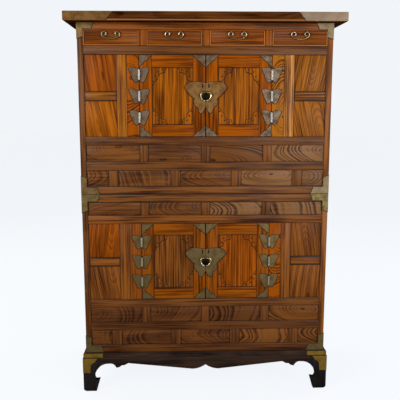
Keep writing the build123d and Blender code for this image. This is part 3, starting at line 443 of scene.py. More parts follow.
def wood_finish(name, lean, weights, margin=0.0, dirt_and_shade_width=0.003, roughness=0.45, sheen=0.11):
    """Ring-porous wood in the board's own stain; the weights are of streaks, rings and clouds."""
    finish = Finish(name)
    place = finish.split(finish.attribute("grain"))
    late, early = rings(finish, place, lean)
    streak = grain_noise(finish, place, STREAK_PITCH, 3.0).rise(*MIDDLE)
    cloud = grain_noise(finish, place, CLOUD_PITCH, 2.0).rise(*MIDDLE)
    fibre = grain_noise(finish, place, FIBRE_PITCH, 1.0)
    tone = streak * weights[0] + (1.0 - late) * weights[1] + cloud * weights[2]
    tone = tone + early * (EARLY_SHARE * weights[1]) - fibre.rise(*PORES) * PORE_SHARE
    tone = (tone - MEAN_TONE) * CONTRAST + MEAN_TONE
    stain = finish.attribute("stain", "Color")
    deep = finish.blend(1.0, stain, DEEP_GRAIN, "MULTIPLY")
    warm = finish.blend(1.0, stain, WARM_GRAIN, "MULTIPLY")
    colour = finish.blend(tone.rise(*DARK_TONES), deep, stain)
    colour = finish.blend(tone.rise(*LIGHT_TONES), colour, warm)
    colour = edge_dirt_and_painted_light(finish, name, colour, stain, margin, dirt_and_shade_width)
    rough = fibre * FIBRE_ROUGH + late * LATE_ROUGH + (roughness - LATE_ROUGH)
    finish.set(Base_Color=colour, Roughness=rough, Specular_IOR_Level=sheen)
    finish.bump(1.0 - late * 0.5 - fibre * 0.5, GRAIN_BUMP, GRAIN_DEPTH)
    return finish.material


WOODS = {
    "frame": wood_finish("oiled_frame_wood", STRAIGHT, (0.65, 0.2, 0.35)),
    # the wide dark edges are a painted shade: of grooves on the flank rails, of the seam on the joint
    # rails, of the recess on the door panels
    "flank_rail": wood_finish("painted_shade_flank_rail_wood", STRAIGHT, (0.6, 0.2, 0.3), dirt_and_shade_width=0.009),
    "joint_rail": wood_finish("joint_rail_wood", STRAIGHT, (0.65, 0.2, 0.35), dirt_and_shade_width=0.0055),
    "bold_row": wood_finish("bold_row_wood", LEANS["bold_row"], (0.2, 0.65, 0.15), MARGIN, 0.004),
    "calm_row": wood_finish("calm_row_wood", LEANS["calm_row"], (0.35, 0.35, 0.3), MARGIN, 0.004),
    "tiger": wood_finish("tiger_stile_wood", LEANS["tiger"], (0.2, 0.65, 0.15), sheen=0.04),
    "flank": wood_finish(
        "flank_panel_wood", LEANS["flank"], (0.5, 0.3, 0.2), MARGIN, 0.005, sheen=0.07
    ),
    "door": wood_finish("carved_door_wood", STRAIGHT, (0.6, 0.2, 0.2), MARGIN, 0.006, sheen=0.05),
    "door_frame": wood_finish("door_frame_wood", STRAIGHT, (0.65, 0.2, 0.35), sheen=0.03),
    "drawer": wood_finish("beaded_drawer_wood", STRAIGHT, (0.45, 0.25, 0.3)),
    "top": wood_finish("dull_top_wood", STRAIGHT, (0.5, 0.2, 0.3), sheen=0.0),
    "bare": wood_finish("bare_inner_wood", STRAIGHT, (0.3, 0.25, 0.2), roughness=0.7),
    "stand": wood_finish("dark_stand_wood", STRAIGHT, (0.4, 0.2, 0.4), roughness=0.5, sheen=0.1),
}
print("woods:", sorted(WOODS))

# %% [markdown]
# ## Boards from the frame
# The solids have sharp edges, and no real board has. Each wooden node is copied, its triangles
# are merged back into flat faces, and it is taken apart into single boards. Each board gets a
# small bevel and the numbers that its finish reads. The boards of a node are then joined again
# and stand for it.

# %% Board helpers
PIT = 0.002  # how far the carved dots are sunk
SLOPE = 0.0009  # width of the slope round the carving
DOT_AREA = 0.00006  # a smaller face in the carving is a dot
NEAR = 0.0001  # what counts as the same place
MERGE = 0.00001
BEVEL_STEPS = 2
FACING = 0.9  # how squarely a face looks to the front or the back
FLAT = math.radians(0.4)
SHARP = math.radians(38.0)
SMOOTH = math.radians(30.0)


def choose(*objects):
    """Selects these objects alone and makes the first one active."""
    bpy.ops.object.select_all(action="DESELECT")
    for each in objects:
        each.select_set(True)
    bpy.context.view_layer.objects.active = objects[0]


def points_of(solid):
    """The points of a mesh, one in each row."""
    return np.array([v.co for v in solid.data.vertices])


def pick_faces(solid, wanted):
    """Leaves a solid in edit mode with only the wanted faces selected."""
    bpy.ops.object.mode_set(mode="EDIT")
    bpy.ops.mesh.select_mode(type="FACE")
    bpy.ops.mesh.select_all(action="DESELECT")
    bpy.ops.object.mode_set(mode="OBJECT")
    for face in solid.data.polygons:
        face.select = wanted(face)
    bpy.ops.object.mode_set(mode="EDIT")


def taken_apart(node):
    """Copies a node, merges its triangles into faces and returns its loose solids."""
    copy = bpy.data.objects.new(node + "_copy", frame["nodes"][node].data.copy())
    scene.collection.objects.link(copy)
    copy.data.materials.clear()
    choose(copy)
    if copy.data.has_custom_normals:
        bpy.ops.mesh.customdata_custom_splitnormals_clear()
    bpy.ops.object.mode_set(mode="EDIT")
    bpy.ops.mesh.select_all(action="SELECT")
    bpy.ops.mesh.remove_doubles(threshold=MERGE)
    bpy.ops.mesh.dissolve_limited(angle_limit=FLAT)
    bpy.ops.mesh.separate(type="LOOSE")
    bpy.ops.object.mode_set(mode="OBJECT")
    return sorted(bpy.context.selected_objects, key=lambda o: tuple(o.bound_box[0]))


def soften(solid, width):
    """Bevels the sharp edges of one solid."""
    choose(solid)
    edge = solid.modifiers.new("edge", "BEVEL")
    edge.width = width
    edge.segments = BEVEL_STEPS
    edge.limit_method = "ANGLE"
    edge.angle_limit = SHARP
    bpy.ops.object.modifier_apply(modifier="edge")


def carve(panel):
    """Sinks the dots of a door panel's raised corners and slopes their edges."""
    top = points_of(panel)[:, 1].min()
    choose(panel)
    pick_faces(panel, lambda f: f.normal.y < -FACING and f.center.y > top + PIT and f.area < DOT_AREA)
    bpy.ops.transform.translate(value=(0.0, PIT, 0.0))
    bpy.ops.object.mode_set(mode="OBJECT")
    pick_faces(panel, lambda f: f.normal.y < -FACING and f.center.y < top + NEAR)
    bpy.ops.mesh.quads_convert_to_tris(ngon_method="BEAUTY")
    bpy.ops.mesh.region_to_loop()
    bpy.ops.mesh.bevel(
        offset=SLOPE, segments=BEVEL_STEPS, affect="EDGES", clamp_overlap=False, loop_slide=False
    )
    bpy.ops.object.mode_set(mode="OBJECT")


def spread(solid, name, kind, values):
    """Stores one value for each point of a solid."""
    store = solid.data.attributes.new(name, kind, "POINT")
    key = "color" if kind == "FLOAT_COLOR" else "vector"
    store.data.foreach_set(key, np.asarray(values, np.float32).ravel())


def mark_board(solid, stain, place_in_trunk, askew):
    """Gives a board its own coordinates, its half sizes, its place in the trunk and its stain."""
    points = points_of(solid)
    low, high = points.min(0), points.max(0)
    order = np.argsort(low - high, kind="stable")
    spot = (points - (low + high) / 2)[:, order]
    reach = ((high - low) / 2)[order]
    spread(solid, "spot", "FLOAT_VECTOR", spot)
    spread(solid, "reach", "FLOAT_VECTOR", np.tile(reach, (len(points), 1)))
    cos, sin = math.cos(askew), math.sin(askew)
    turned = np.array([[cos, sin, 0], [-sin, cos, 0], [0, 0, 1]])
    spread(solid, "grain", "FLOAT_VECTOR", spot @ turned + np.array(place_in_trunk))
    spread(solid, "stain", "FLOAT_COLOR", np.tile(stain, (len(points), 1)))


def stand_for(piece, node):
    """The piece takes the node's place: it rides on the same body, and the node is hidden."""
    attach(piece, frame["nodes"][node]["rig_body"])
    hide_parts(node)


def joined(solids, name):
    """Joins solids, each with its finish, into one smooth-edged piece."""
    choose(*solids)
    bpy.ops.object.join()
    piece = bpy.context.object
    piece.name = name
    piece.data.name = name
    bpy.ops.object.shade_smooth_by_angle(angle=SMOOTH)
    return piece


print("board helpers ready")

# %% [markdown]
# ## Places on the front
# Stain, grain and dirt depend on where a board is. The places are worked out from the frame: the
# seam of the two chests, the front of the drawer deck, and the rails, stiles and flanks round the
# doors. A reach says how near to a place the middle of a board has to be to count as there.

# %% Places
SILL_DROP = 0.0185  # from the foot of a door to the middle of the rail below it
HEAD_RISE = 0.0195  # from the head of a door to the middle of the rail above it
BOSS_DROP = 0.002  # how far the boss is below the middle of the doors
DOOR_TO_STILE = 0.0265
DOOR_TO_FLANK = 0.1575
TIGHT_REACH = 0.01
BOARD_REACH = 0.02
RAIL_REACH = 0.03
FLANK_REACH = 0.04
DOOR_REACH = 0.05

JOINT_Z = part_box("upper_corner_posts")[0].z
DRAWER_FRONT_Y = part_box("drawer_deck")[0].y
SILL_Z, HEAD_Z, BOSS_Z = {}, {}, {}
for chest in ("lower", "upper"):
    door_low, door_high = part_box(chest + "_right_door_frame")
    SILL_Z[chest] = door_low.z - SILL_DROP
    HEAD_Z[chest] = door_high.z + HEAD_RISE
    BOSS_Z[chest] = (door_low.z + door_high.z) / 2 - BOSS_DROP
DOOR_EDGE_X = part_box("lower_right_door_frame")[1].x
HINGE_STILE_X = DOOR_EDGE_X + DOOR_TO_STILE
FLANK_X = DOOR_EDGE_X + DOOR_TO_FLANK


def close_to(value, place, reach):
    """Whether a value is nearer to a place than a reach."""
    return abs(value - place) < reach


print("rails round the doors at", SILL_Z, HEAD_Z)

# %% [markdown]
# ## Which stain on which board
# The stains differ over the front: the upper doors are honey, the rows of panels are brown, the
# lower chest is darker towards the floor and the stand is nearly black. Greyer and paler stains on
# the right of the rows and on the posts beside the upper doors are a painted sheen. A short list of
# stains is enough, chosen by where a board is, with a little chance in each. The fourth number of a
# board's stain is how much dirt and painted shade its edges get.

# %% Stains
LIGHT = 0.60
STAINS = {
    "honey": tint(142, 76, 4, LIGHT),
    "amber": tint(132, 64, 3, LIGHT),
    "tawny": tint(138, 80, 18, LIGHT),
    "russet": tint(118, 60, 8, LIGHT),
    "chestnut": tint(112, 63, 22, LIGHT),
    # a greyer stain that is a painted sheen on the right of the rows
    "painted_sheen": tint(105, 70, 43, LIGHT),
    # a paler stain that is a painted sheen on the posts right of the upper doors
    "pale": tint(186, 122, 60, LIGHT),
    "umber": tint(96, 55, 22, LIGHT),
    "bark": tint(86, 48, 20, LIGHT),
    "soot": tint(50, 34, 27, LIGHT),
    "pitch": tint(26, 21, 22, LIGHT),
    "bare": tint(176, 134, 88, LIGHT),
}
STAIN_CHANCE = (0.88, 1.12)
FLANK_SPLIT = 0.18  # over the sill, between the upper and the lower panels of a flank
RIGHT_END_X = 0.2  # panels to the right of this are at the end of a row, where the upper chest gets the painted sheen
# how much dirt and painted shade the edges of each kind of board get
RAIL_DIRT_AND_SHADE = 1.0
DOOR_DIRT_AND_SHADE = 0.9
PANEL_DIRT_AND_SHADE = 0.5
FRAME_DIRT_AND_SHADE = 0.42
HINGE_STILES = {"upper": ("amber", "tawny"), "lower": ("russet", "amber")}
chance = random.Random(7)


def front_stain(chest, x, z, panel):
    """The stain of a board on the front of a chest; the greyer and paler stains on the right are a painted
    sheen.
    """
    upper = chest == "upper"
    if z > HEAD_Z[chest] + RAIL_REACH:
        return "russet" if upper else ("painted_sheen" if panel and x > 0 else "umber")
    if z > HEAD_Z[chest] - RAIL_REACH:
        return "umber" if upper else "chestnut"
    if z < SILL_Z[chest] - RAIL_REACH:
        if panel and x > RIGHT_END_X:
            return "painted_sheen" if upper else "umber"
        return "umber" if upper else "bark"
    if z < SILL_Z[chest] + RAIL_REACH:
        return "bark" if upper else "umber"
    if panel and x < 0:
        if z > SILL_Z[chest] + FLANK_SPLIT:
            return "amber"
        return "honey" if upper else "chestnut"
    if not panel and close_to(abs(x), HINGE_STILE_X, BOARD_REACH):
        return HINGE_STILES[chest][x > 0]
    if not panel and upper and 0 < x < FLANK_X - FLANK_REACH:
        return "pale"
    return "tawny" if upper else "chestnut"


def stain_name(node, centre):
    """The stain of any board, by its node and its middle."""
    chest = node.split("_")[0]
    x, y, z = centre
    if node == "stand_legs":
        return "pitch"
    if node.startswith("stand"):
        return "soot"
    if "inner" in node or node.endswith("back") or node == "drawer_deck":
        return "bare"
    if node == "top_board":
        return "bark"
    if node.startswith("drawer"):
        return "russet" if y < DRAWER_FRONT_Y else "bare"
    if "door_panel" in node:
        return "honey" if chest == "upper" else ("amber" if x > 0 else "chestnut")
    if "door_frame" in node:
        return "amber" if chest == "upper" else "russet"
    if node.endswith("corner_posts"):
        return "chestnut" if x > 0 else "umber"
    if node.endswith("sides"):
        return "russet" if chest == "upper" else "umber"
    return front_stain(chest, x, z, node.endswith("front_panels"))


def stained(name, dirt):
    """A stain with a little chance in its strength, and how much dirt and painted shade its edges get."""
    strength = chance.uniform(*STAIN_CHANCE)
    return tuple(c * strength for c in STAINS[name][:3]) + (dirt,)


def edge_dirt_and_shade_of(node, centre):
    """Edges are darker, with dirt and painted shade, on the small rails beside the doors, at the seam,
    over the upper doors and round the door panels; the dark stand gets none.
    """
    x, _, z = centre
    if node.startswith("stand"):
        return 0.0
    small_rail = close_to(abs(x), FLANK_X, TIGHT_REACH) or close_to(z, JOINT_Z, BOARD_REACH)
    if node.endswith("front_frame") and small_rail:
        return RAIL_DIRT_AND_SHADE
    if node == "upper_front_frame" and close_to(z, HEAD_Z["upper"], RAIL_REACH):
        return DOOR_DIRT_AND_SHADE
    if node.endswith("door_panel"):
        return DOOR_DIRT_AND_SHADE
    return PANEL_DIRT_AND_SHADE if node.endswith("panels") else FRAME_DIRT_AND_SHADE


print("stains:", sorted(STAINS))

# %% [markdown]
# ## All the boards
# The broad panels of the rows were cut near the middle of the trunk and show arches, and so do most
# of the stiles with the hinges. Rails, posts and door panels were cut far out and show straight lines.
# Bevels are about a millimetre and a half on the boards and less on thin panels. The edges of the
# carved corners get a narrow slope, and their dots are sunk.

# %% Dress the boards
WOODEN = [node for node, slot in SLOTS.items() if slot.endswith("wood")]
BOLD_X = 0.1  # panels to the right of this have bold arches
THIN = 0.009  # thinner boards are panels
LOW_PANEL = 0.1
TALL_STILE = 0.2
LOW_RAIL = 0.05
PANEL_EDGE = 0.0006
BOARD_EDGE = 0.0014
ASKEW = (0.1, 0.25)  # how far the grain of a flank panel is turned, in radians
SHIFT = 3.0  # how far up or down the trunk a board may come from
ROW_ACROSS = 0.03  # how far from the axis a panel of a row may come from
ROW_THROUGH = 0.12
FLANK_ACROSS = 0.04
FLANK_THROUGH = (0.01, 0.03)
FAR_ACROSS = (0.09, 0.22)  # how far from the axis a board with straight lines comes from
FAR_THROUGH = 0.05
TIGER_SHARE = 0.1  # the hinge stiles come from much nearer


def within(reach):
    """A chance value on either side of 0, no farther than the reach."""
    return chance.uniform(-reach, reach)


def either_side(distances):
    """A chance value at one of the distances from 0, on a side left to chance."""
    return chance.choice((-1, 1)) * chance.uniform(*distances)


def trunk_place(kind):
    """Where in the trunk a board was cut: near the middle for arches, far out for straight lines."""
    shift = within(SHIFT)
    if kind.endswith("row"):
        across = within(ROW_ACROSS)
        through = within(ROW_THROUGH)
    elif kind == "flank":
        across = within(FLANK_ACROSS)
        through = either_side(FLANK_THROUGH)
    else:
        across = either_side(FAR_ACROSS)
        through = within(FAR_THROUGH)
    if kind == "tiger":
        across *= TIGER_SHARE
    return (shift, across, through - shift * LEANS.get(kind, STRAIGHT))


def panel_kind(x, width, height):
    """The finish of a panel on the front: beside the doors, or in a row on the right or the left."""
    upright = height > width / 2 and height > LOW_PANEL
    if upright and abs(x) > FLANK_X - FLANK_REACH:
        return "flank"
    return "bold_row" if x > BOLD_X else "calm_row"


def frame_kind(chest, x, z, height):
    """The finish of a rail, post or stile on the front."""
    if close_to(z, JOINT_Z, BOARD_REACH):
        return "joint_rail"
    hinge_stile = close_to(abs(x), HINGE_STILE_X, BOARD_REACH) and height > TALL_STILE
    if hinge_stile and (chest == "upper" or x > 0):
        return "tiger"
    small = close_to(abs(x), FLANK_X, TIGHT_REACH) and height < LOW_RAIL
    beside_door = SILL_Z[chest] + DOOR_REACH < z < HEAD_Z[chest] - DOOR_REACH
    return "flank_rail" if small and beside_door else "frame"


def board_kind(node, centre, size):
    """Which finish a board has, by its node, its place and its size."""
    x, y, z = centre
    width, _, height = size
    if node.startswith("stand"):
        return "stand"
    if SLOTS[node] == "plain_wood":
        return "bare"
    if node == "top_board":
        return "top"
    if node.startswith("drawer"):
        return "drawer" if y < DRAWER_FRONT_Y else "bare"
    if node.endswith("door_panel"):
        return "door"
    if node.endswith("door_frame"):
        return "door_frame"
    if node.endswith("front_panels"):
        return panel_kind(x, width, height)
    if node.endswith("front_frame"):
        return frame_kind(node.split("_")[0], x, z, height)
    return "flank" if node.endswith("sides") and width < THIN else "frame"


for node in WOODEN:
    solids = taken_apart(node)
    for solid in solids:
        points = points_of(solid)
        centre = (points.min(0) + points.max(0)) / 2
        size = np.ptp(points, axis=0)
        kind = board_kind(node, centre, size)
        if kind == "door":
            carve(solid)
        else:
            soften(solid, PANEL_EDGE if min(size) < THIN else BOARD_EDGE)
        askew = either_side(ASKEW) if kind == "flank" else 0.0
        stain = stained(stain_name(node, centre), edge_dirt_and_shade_of(node, centre))
        mark_board(solid, stain, trunk_place(kind), askew)
        solid.data.materials.append(WOODS[kind])
    stand_for(joined(solids, node + "_boards"), node)
print("wooden nodes dressed:", len(WOODEN))

# %% [markdown]
# ## Metal
# The mounts are thin brass sheet, dull with age: brown on the upper chest, olive on the lower one
# and yellower on the stand; on the right half of the upper chest and the top they are greyer, a
# painted sheen. The barrels of the hinges are lighter, a painted highlight, and the bosses of the
# lock plates are nearly black, a painted shade inside the pull rings. Bails are lighter at their
# scrolls, a painted highlight, and bronze in the bow.
# One finish serves all: two colours in clouds, specks, scratches, and a mask for a third colour.

# %% Metal finish
PLATE_LOW, PLATE_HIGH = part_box("upper_left_door_corner_mounts")
PLATE_T = PLATE_HIGH.y - PLATE_LOW.y
BARREL_RISE = (0.0009, 0.0019)  # how far in front of the plates a barrel is bright
BOW_DROP = 0.0115  # from the top of a bail to its bow
BOW_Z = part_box("drawer_1_bail")[1].z - BOW_DROP
BOW_FADE = 0.004
BOSS_R = (0.0135, 0.0165)
RIGHT_HALF = (-0.2, 0.2)
CLOUD_SCALE = 38.0
CLOUDS = (0.36, 0.66)
SPECK_SCALE = 420.0
SPECKS = (0.58, 0.72)
SPECK_SHARE = 0.45
SPECK_COLOUR = (0.02, 0.018, 0.012, 1.0)
SCRATCHES = (900.0, 900.0, 60.0)
CLOUD_ROUGH = 0.12
SCRATCH_ROUGH = 0.1
METAL_BUMP = 0.2
METAL_DEPTH = 0.0005


def metal_finish(name, colour, tarnish, other=None, mask=None, roughness=0.56):
    """Aged sheet metal in screen colours; the mask says from x, y and z where the other colour lies."""
    finish = Finish(name)
    place = finish.node("TexCoord", out="Object")
    cloud = finish.noise(place, CLOUD_SCALE, 4.0).rise(*CLOUDS)
    speck = finish.noise(place, SPECK_SCALE, 2.0)
    scratch = finish.noise(finish.node("Mapping", {"Vector": place, "Scale": SCRATCHES}), 1.0, 1.0)
    shade = finish.blend(cloud, tint(*colour), tint(*tarnish))
    shade = finish.blend(speck.rise(*SPECKS) * SPECK_SHARE, shade, SPECK_COLOUR)
    if mask:
        shade = finish.blend(mask(*finish.split(place)), shade, tint(*other))
    rough = cloud * CLOUD_ROUGH + scratch * SCRATCH_ROUGH + (roughness - SCRATCH_ROUGH)
    finish.set(Base_Color=shade, Roughness=rough, Metallic=1.0)
    finish.bump(cloud * 0.4 + speck * 0.4 + scratch * 0.2, METAL_BUMP, METAL_DEPTH)
    return finish.material


def barrel(x, y, z):
    """The knuckles of a hinge, which stand out in front of its leaves and get a lighter colour as a
    painted highlight.
    """
    return (PLATE_LOW.y - y).rise(*BARREL_RISE)


def boss(chest):
    """The round boss of a chest's lock plates, painted nearly black as a painted shade inside the pull
    ring.
    """
    def mask(x, y, z):
        away = x * x + (z - BOSS_Z[chest]) * (z - BOSS_Z[chest])
        return away.fall(BOSS_R[0] ** 2, BOSS_R[1] ** 2)
    return mask


def right_half_sheen(x, y, z):
    """The right half of the cabinet, with a soft middle, where the mounts get a painted sheen."""
    return x.rise(*RIGHT_HALF)


def bow(x, y, z):
    """The bow of a bail, below its scrolls; it keeps the bronze, while the scrolls are painted lighter as
    a painted highlight.
    """
    return z.fall(BOW_Z - BOW_FADE, BOW_Z)


UPPER, UPPER_DIM = (124, 92, 54), (104, 74, 40)
GREY, GREY_DIM = (112, 94, 76), (88, 72, 56)
LOWER, LOWER_DIM = (116, 96, 62), (94, 78, 48)
# the lighter colour of the hinge barrels, here and in the lower leaves, is a painted highlight
BARREL_HIGHLIGHT = (150, 144, 138)
# the near-black of the lock bosses, a painted shade inside the pull rings
BOSS_SHADE = (26, 21, 14)
METALS = {
    "upper_leaves": metal_finish("upper_hinge_brass", GREY, GREY_DIM, BARREL_HIGHLIGHT, barrel),
    "lower_leaves": metal_finish("lower_hinge_brass", LOWER, LOWER_DIM, (140, 132, 108), barrel),
    "upper_lock": metal_finish("upper_lock_brass", UPPER, UPPER_DIM, BOSS_SHADE, boss("upper")),
    "lower_lock": metal_finish("lower_lock_brass", LOWER, LOWER_DIM, BOSS_SHADE, boss("lower")),
    # on the right half the upper and top mounts get a greyer colour, a painted sheen
    "upper": metal_finish("upper_mount_brass", (118, 96, 62), (96, 74, 46), (112, 97, 72), right_half_sheen),
    "lower": metal_finish("lower_mount_brass", (116, 100, 62), (94, 80, 48)),
    "stand": metal_finish("stand_mount_brass", (152, 122, 52), (118, 90, 38)),
    "top": metal_finish("top_mount_brass", (104, 76, 42), (84, 58, 30), (122, 104, 86), right_half_sheen),
    # the light first colour on the scrolls is a painted highlight, the bow gets the bronze
    "bails": metal_finish(
        "bail_metal", (176, 164, 142), (128, 114, 92), (146, 116, 72), bow, roughness=0.36
    ),
    "rings": metal_finish("ring_metal", (206, 190, 150), (150, 132, 96), roughness=0.3),
}


def metal_kind(node):
    """Which metal a node is made of."""
    chest = node.split("_")[0]
    if chest == "drawer":
        return "bails"
    if node.endswith("pull"):
        return "rings"
    if node.endswith("lock_plate"):
        return chest + "_lock"
    return chest + "_leaves" if "door" in node or "leaves" in node else chest


for node, slot in SLOTS.items():
    if slot in ("aged_brass", "bright_metal"):
        mesh = frame["nodes"][node].data
        mesh.materials.clear()
        mesh.materials.append(METALS[metal_kind(node)])
print("metals:", sorted(METALS))

# %% [markdown]
# ## Nails
# Each mount is held by small domed nails along its border. One nail is modelled and copied to
# every spot: a point some way inside the outline that is far enough from the nails before it.
# A hinge pin has no nails: its back is a strip with four corners.

# %% Nail helpers
NAIL_R = 0.0017
NAIL_RISE = 0.0009
NAIL_INSET = 0.006  # from the border to the middle of a nail
NAIL_PITCH = 0.023  # the least distance of two nails
PULL_CLEAR = 0.034  # nails keep this far from the pulls
CLEAR_SHARE = 0.97
PIN_CORNERS = 4
STEPS = 24


def edge_normals(outline):
    """Which way is outwards, in x and z, at each edge of a flat outline."""
    ends = np.roll(outline, -1, axis=0)
    edge = (ends - outline)[:, (0, 2)]
    edge /= np.maximum(np.linalg.norm(edge, axis=1), NEAR)[:, None]
    area = (outline[:, 0] * ends[:, 2] - ends[:, 0] * outline[:, 2]).sum()
    return np.stack((edge[:, 1], -edge[:, 0]), axis=1) * np.sign(area)


def inside(outline, x, z):
    """Whether a point lies in a flat outline, by counting the edges that a line to its right crosses."""
    ends = np.roll(outline, -1, axis=0)
    spans = (outline[:, 2] > z) != (ends[:, 2] > z)
    rise = np.where(spans, ends[:, 2] - outline[:, 2], 1.0)
    crossing = outline[:, 0] + (z - outline[:, 2]) / rise * (ends[:, 0] - outline[:, 0])
    return (spans & (crossing > x)).sum() % 2 == 1


def nail_spots(outline, front_y):
    """Points inside an outline, at one inset from its border and at least a pitch apart."""
    ends = np.roll(outline, -1, axis=0)
    steps = np.linspace(0.0, 1.0, STEPS, endpoint=False)[:, None, None]
    border = (outline * (1 - steps) + ends * steps).reshape(-1, 3)[:, (0, 2)]
    tries = border - np.tile(edge_normals(outline), (STEPS, 1)) * NAIL_INSET
    spots = []
    for x, z in sorted(tries.tolist(), key=lambda p: (round(-p[1], 4), round(abs(p[0]), 4))):
        near_pull = min(math.hypot(x, z - pull) for pull in BOSS_Z.values()) < PULL_CLEAR
        clear = np.hypot(border[:, 0] - x, border[:, 1] - z).min() > NAIL_INSET * CLEAR_SHARE
        apart = all(math.hypot(x - a, z - b) > NAIL_PITCH for a, _, b in spots)
        if clear and apart and not near_pull and inside(outline, x, z):
            spots.append((x, front_y, z))
    return spots


bpy.ops.object.select_all(action="DESELECT")
bpy.ops.mesh.primitive_uv_sphere_add(segments=8, ring_count=6, radius=NAIL_R)
nail = bpy.context.object
bpy.ops.object.mode_set(mode="EDIT")
bpy.ops.mesh.select_all(action="SELECT")
bpy.ops.mesh.bisect(plane_co=(0.0, 0.0, 0.0), plane_no=(0.0, 0.0, 1.0), use_fill=True, clear_inner=True)
bpy.ops.mesh.select_all(action="SELECT")
bpy.ops.transform.resize(value=(1.0, 1.0, NAIL_RISE / NAIL_R))
bpy.ops.object.mode_set(mode="OBJECT")
x, y, z = points_of(nail).T
nail.data.vertices.foreach_set("co", np.stack((x, -z, y), axis=1).ravel())
nail.data.materials.append(metal_finish("nail_brass", (104, 88, 62), (78, 64, 44)))


def nails_at(spots):
    """Copies of the nail, one at each spot."""
    made = []
    for spot in spots:
        copy = bpy.data.objects.new("nail_copy", nail.data.copy())
        scene.collection.objects.link(copy)
        copy.data.vertices.foreach_set("co", (points_of(nail) + np.array(spot)).ravel())
        made.append(copy)
    return made


print("nail faces:", len(nail.data.polygons))

# %% [markdown]
# ## Wax and painted shadow round the mounts
# A thin dark film lies round every mount, round the carved corners of the doors and in the
# piercings of the lock plates: partly polish gathered there over the years, partly a painted shadow
# of the edges. The film is the mount's own back face, with its holes filled and a strip all round
# it, shifted down a little so that the painted shadow is wider below, and lying on the wood.

# %% Wax and painted shadow lines
FILM_WIDTH = 0.0026
SHADOW_SAG = 0.0007  # how far the film is shifted down, so that the painted shadow is wider below the mount
FILM_RISE = 0.0002  # how far it stands over the wood
FILM_ROOT = 0.0003  # how far it reaches into the wood
FILM_SCALE = 240.0
FILM_BLOTCHES = (0.4, 0.7)
# the film's dark colours: partly old wax, partly a painted shadow
WAX_AND_SHADOW_BLACK = (0.008, 0.005, 0.003, 1.0)
WAX_AND_SHADOW_BROWN = (0.022, 0.013, 0.007, 1.0)
FILM_ROUGH = 0.5
BLOTCH_ROUGH = 0.2
FILM_SHEEN = 0.1
FILM_BUMP = 0.3
FILM_DEPTH = 0.0003

wax_and_shadow = Finish("wax_and_painted_shadow")
blotch = wax_and_shadow.noise(wax_and_shadow.node("TexCoord", out="Object"), FILM_SCALE, 3.0)
wax_and_shadow.set(Base_Color=wax_and_shadow.blend(blotch.rise(*FILM_BLOTCHES), WAX_AND_SHADOW_BLACK, WAX_AND_SHADOW_BROWN))
wax_and_shadow.set(Roughness=blotch * BLOTCH_ROUGH + FILM_ROUGH, Specular_IOR_Level=FILM_SHEEN)
wax_and_shadow.bump(blotch, FILM_BUMP, FILM_DEPTH)


def outline_only(plate):
    """Leaves one face of a flat sheet, the one that fills its whole outline, and returns its points."""
    bpy.ops.mesh.select_all(action="SELECT")
    bpy.ops.mesh.fill_holes(sides=0)
    bpy.ops.object.mode_set(mode="OBJECT")
    largest = max(plate.data.polygons, key=lambda f: f.area).index
    pick_faces(plate, lambda f: f.index != largest)
    bpy.ops.mesh.delete(type="FACE")
    bpy.ops.object.mode_set(mode="OBJECT")
    return np.array([plate.data.vertices[i].co for i in plate.data.polygons[0].vertices])


def wax_and_shadow_film(plate, outline, wood_y, low, high):
    """Turns a flat face into a dark film on the wood, partly wax and partly a painted shadow, with a strip
    round it, shifted down and kept inside a box.
    """
    outward = edge_normals(outline)
    way = outward + np.roll(outward, 1, axis=0)
    way *= FILM_WIDTH / np.maximum((way ** 2).sum(1) / 2, 1.0)[:, None]
    bpy.ops.object.mode_set(mode="EDIT")
    bpy.ops.mesh.select_all(action="SELECT")
    bpy.ops.mesh.region_to_loop()
    bpy.ops.mesh.extrude_edges_indiv()
    bpy.ops.object.mode_set(mode="OBJECT")
    for point in plate.data.vertices:
        if point.select:
            x, z = way[np.abs(outline - np.array(point.co)).sum(1).argmin()]
            point.co.x += x
            point.co.z += z
    bpy.ops.object.mode_set(mode="EDIT")
    bpy.ops.mesh.select_all(action="SELECT")
    bpy.ops.mesh.extrude_region_move(TRANSFORM_OT_translate={"value": (0.0, -FILM_RISE, 0.0)})
    bpy.ops.mesh.select_all(action="SELECT")
    bpy.ops.mesh.normals_make_consistent(inside=False)
    bpy.ops.object.mode_set(mode="OBJECT")
    points = points_of(plate)
    front = points[:, 1] < points[:, 1].mean()
    points[:, 1] = np.where(front, wood_y - FILM_RISE, wood_y + FILM_ROOT)
    points[:, 0] = points[:, 0].clip(low[0], high[0])
    # shifted down, as a painted shadow falls below the mount
    points[:, 2] = (points[:, 2] - SHADOW_SAG).clip(low[2], high[2])
    plate.data.vertices.foreach_set("co", points.ravel())
    plate.data.update()
    plate.data.materials.append(wax_and_shadow.material)
    return plate


def mount_films(node, low, high, spots):
    """A film behind each front plate of a node; adds the places of its nails to the spots."""
    made = []
    for plate in taken_apart(node):
        backs = [f for f in plate.data.polygons if f.normal.y > FACING]
        wood_y = max(backs, key=lambda f: f.area).center.y
        choose(plate)
        pick_faces(plate, lambda f: f.normal.y < FACING or abs(f.center.y - wood_y) > NEAR)
        bpy.ops.mesh.delete(type="FACE")
        outline = outline_only(plate)
        if len(outline) > PIN_CORNERS and wood_y - PLATE_T - NAIL_RISE > cad_low.y:
            spots += nail_spots(outline, wood_y - PLATE_T)
        made.append(wax_and_shadow_film(plate, outline, wood_y, low, high))
    return made


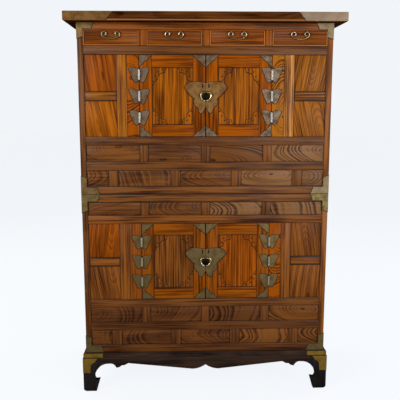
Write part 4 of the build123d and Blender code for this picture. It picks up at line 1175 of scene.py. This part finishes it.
def carving_films(node):
    """A film round each carved corner of a door panel."""
    panel = taken_apart(node)[0]
    top = points_of(panel)[:, 1].min()
    choose(panel)
    pick_faces(panel, lambda f: f.normal.y > -FACING or f.center.y > top + NEAR)
    bpy.ops.mesh.delete(type="FACE")
    bpy.ops.mesh.select_all(action="SELECT")
    bpy.ops.mesh.separate(type="LOOSE")
    bpy.ops.object.mode_set(mode="OBJECT")
    corners = list(bpy.context.selected_objects)
    field = np.concatenate([points_of(corner) for corner in corners])
    made = []
    for corner in corners:
        choose(corner)
        bpy.ops.object.mode_set(mode="EDIT")
        outline = outline_only(corner)
        made.append(wax_and_shadow_film(corner, outline, top + CARVING, field.min(0), field.max(0)))
    return made


print("wax ready")

# %% [markdown]
# ## Dress the mounts
# Every door carries its own film of wax and painted shadow and its nails, and so do each chest and
# the stand. The mounts of the top board are the foremost pieces, so nails would stick out of the box
# of the solids: they get the film only.

# %% Wax and painted shadow films, and nails
dressed = {}
for place, node in {"top": "top_board", "stand": "stand_top_frame"}.items():
    spots = []
    films = mount_films(place + "_mounts", *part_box(place + "_mounts"), spots)
    dressed[place] = (node, films, spots)
for chest in ("lower", "upper"):
    low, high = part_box(chest + "_corner_posts")
    spots = []
    films = mount_films(chest + "_corner_mounts", low, high, spots)
    films += mount_films(chest + "_stile_hinge_leaves", low, high, spots)
    dressed[chest] = (chest + "_corner_posts", films, spots)
    for hand in ("left", "right"):
        door = f"{chest}_{hand}_door"
        low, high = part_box(door + "_frame")
        spots = []
        films = carving_films(door + "_panel")
        for part in ("_corner_mounts", "_hinge_leaves", "_lock_plate"):
            films += mount_films(door + part, low, high, spots)
        dressed[door] = (door + "_frame", films, spots)
for place, (node, films, spots) in dressed.items():
    pieces = [joined(films, place + "_wax_and_shadow_lines")]
    if spots:
        pieces.append(joined(nails_at(spots), place + "_nails"))
    for piece in pieces:
        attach(piece, frame["nodes"][node]["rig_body"])
    print(place, "films:", len(films), "nails:", len(spots))
bpy.data.objects.remove(nail)

# %% Finish
low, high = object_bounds()
print("visual box:", [round(c, 4) for c in (*low, *high)])
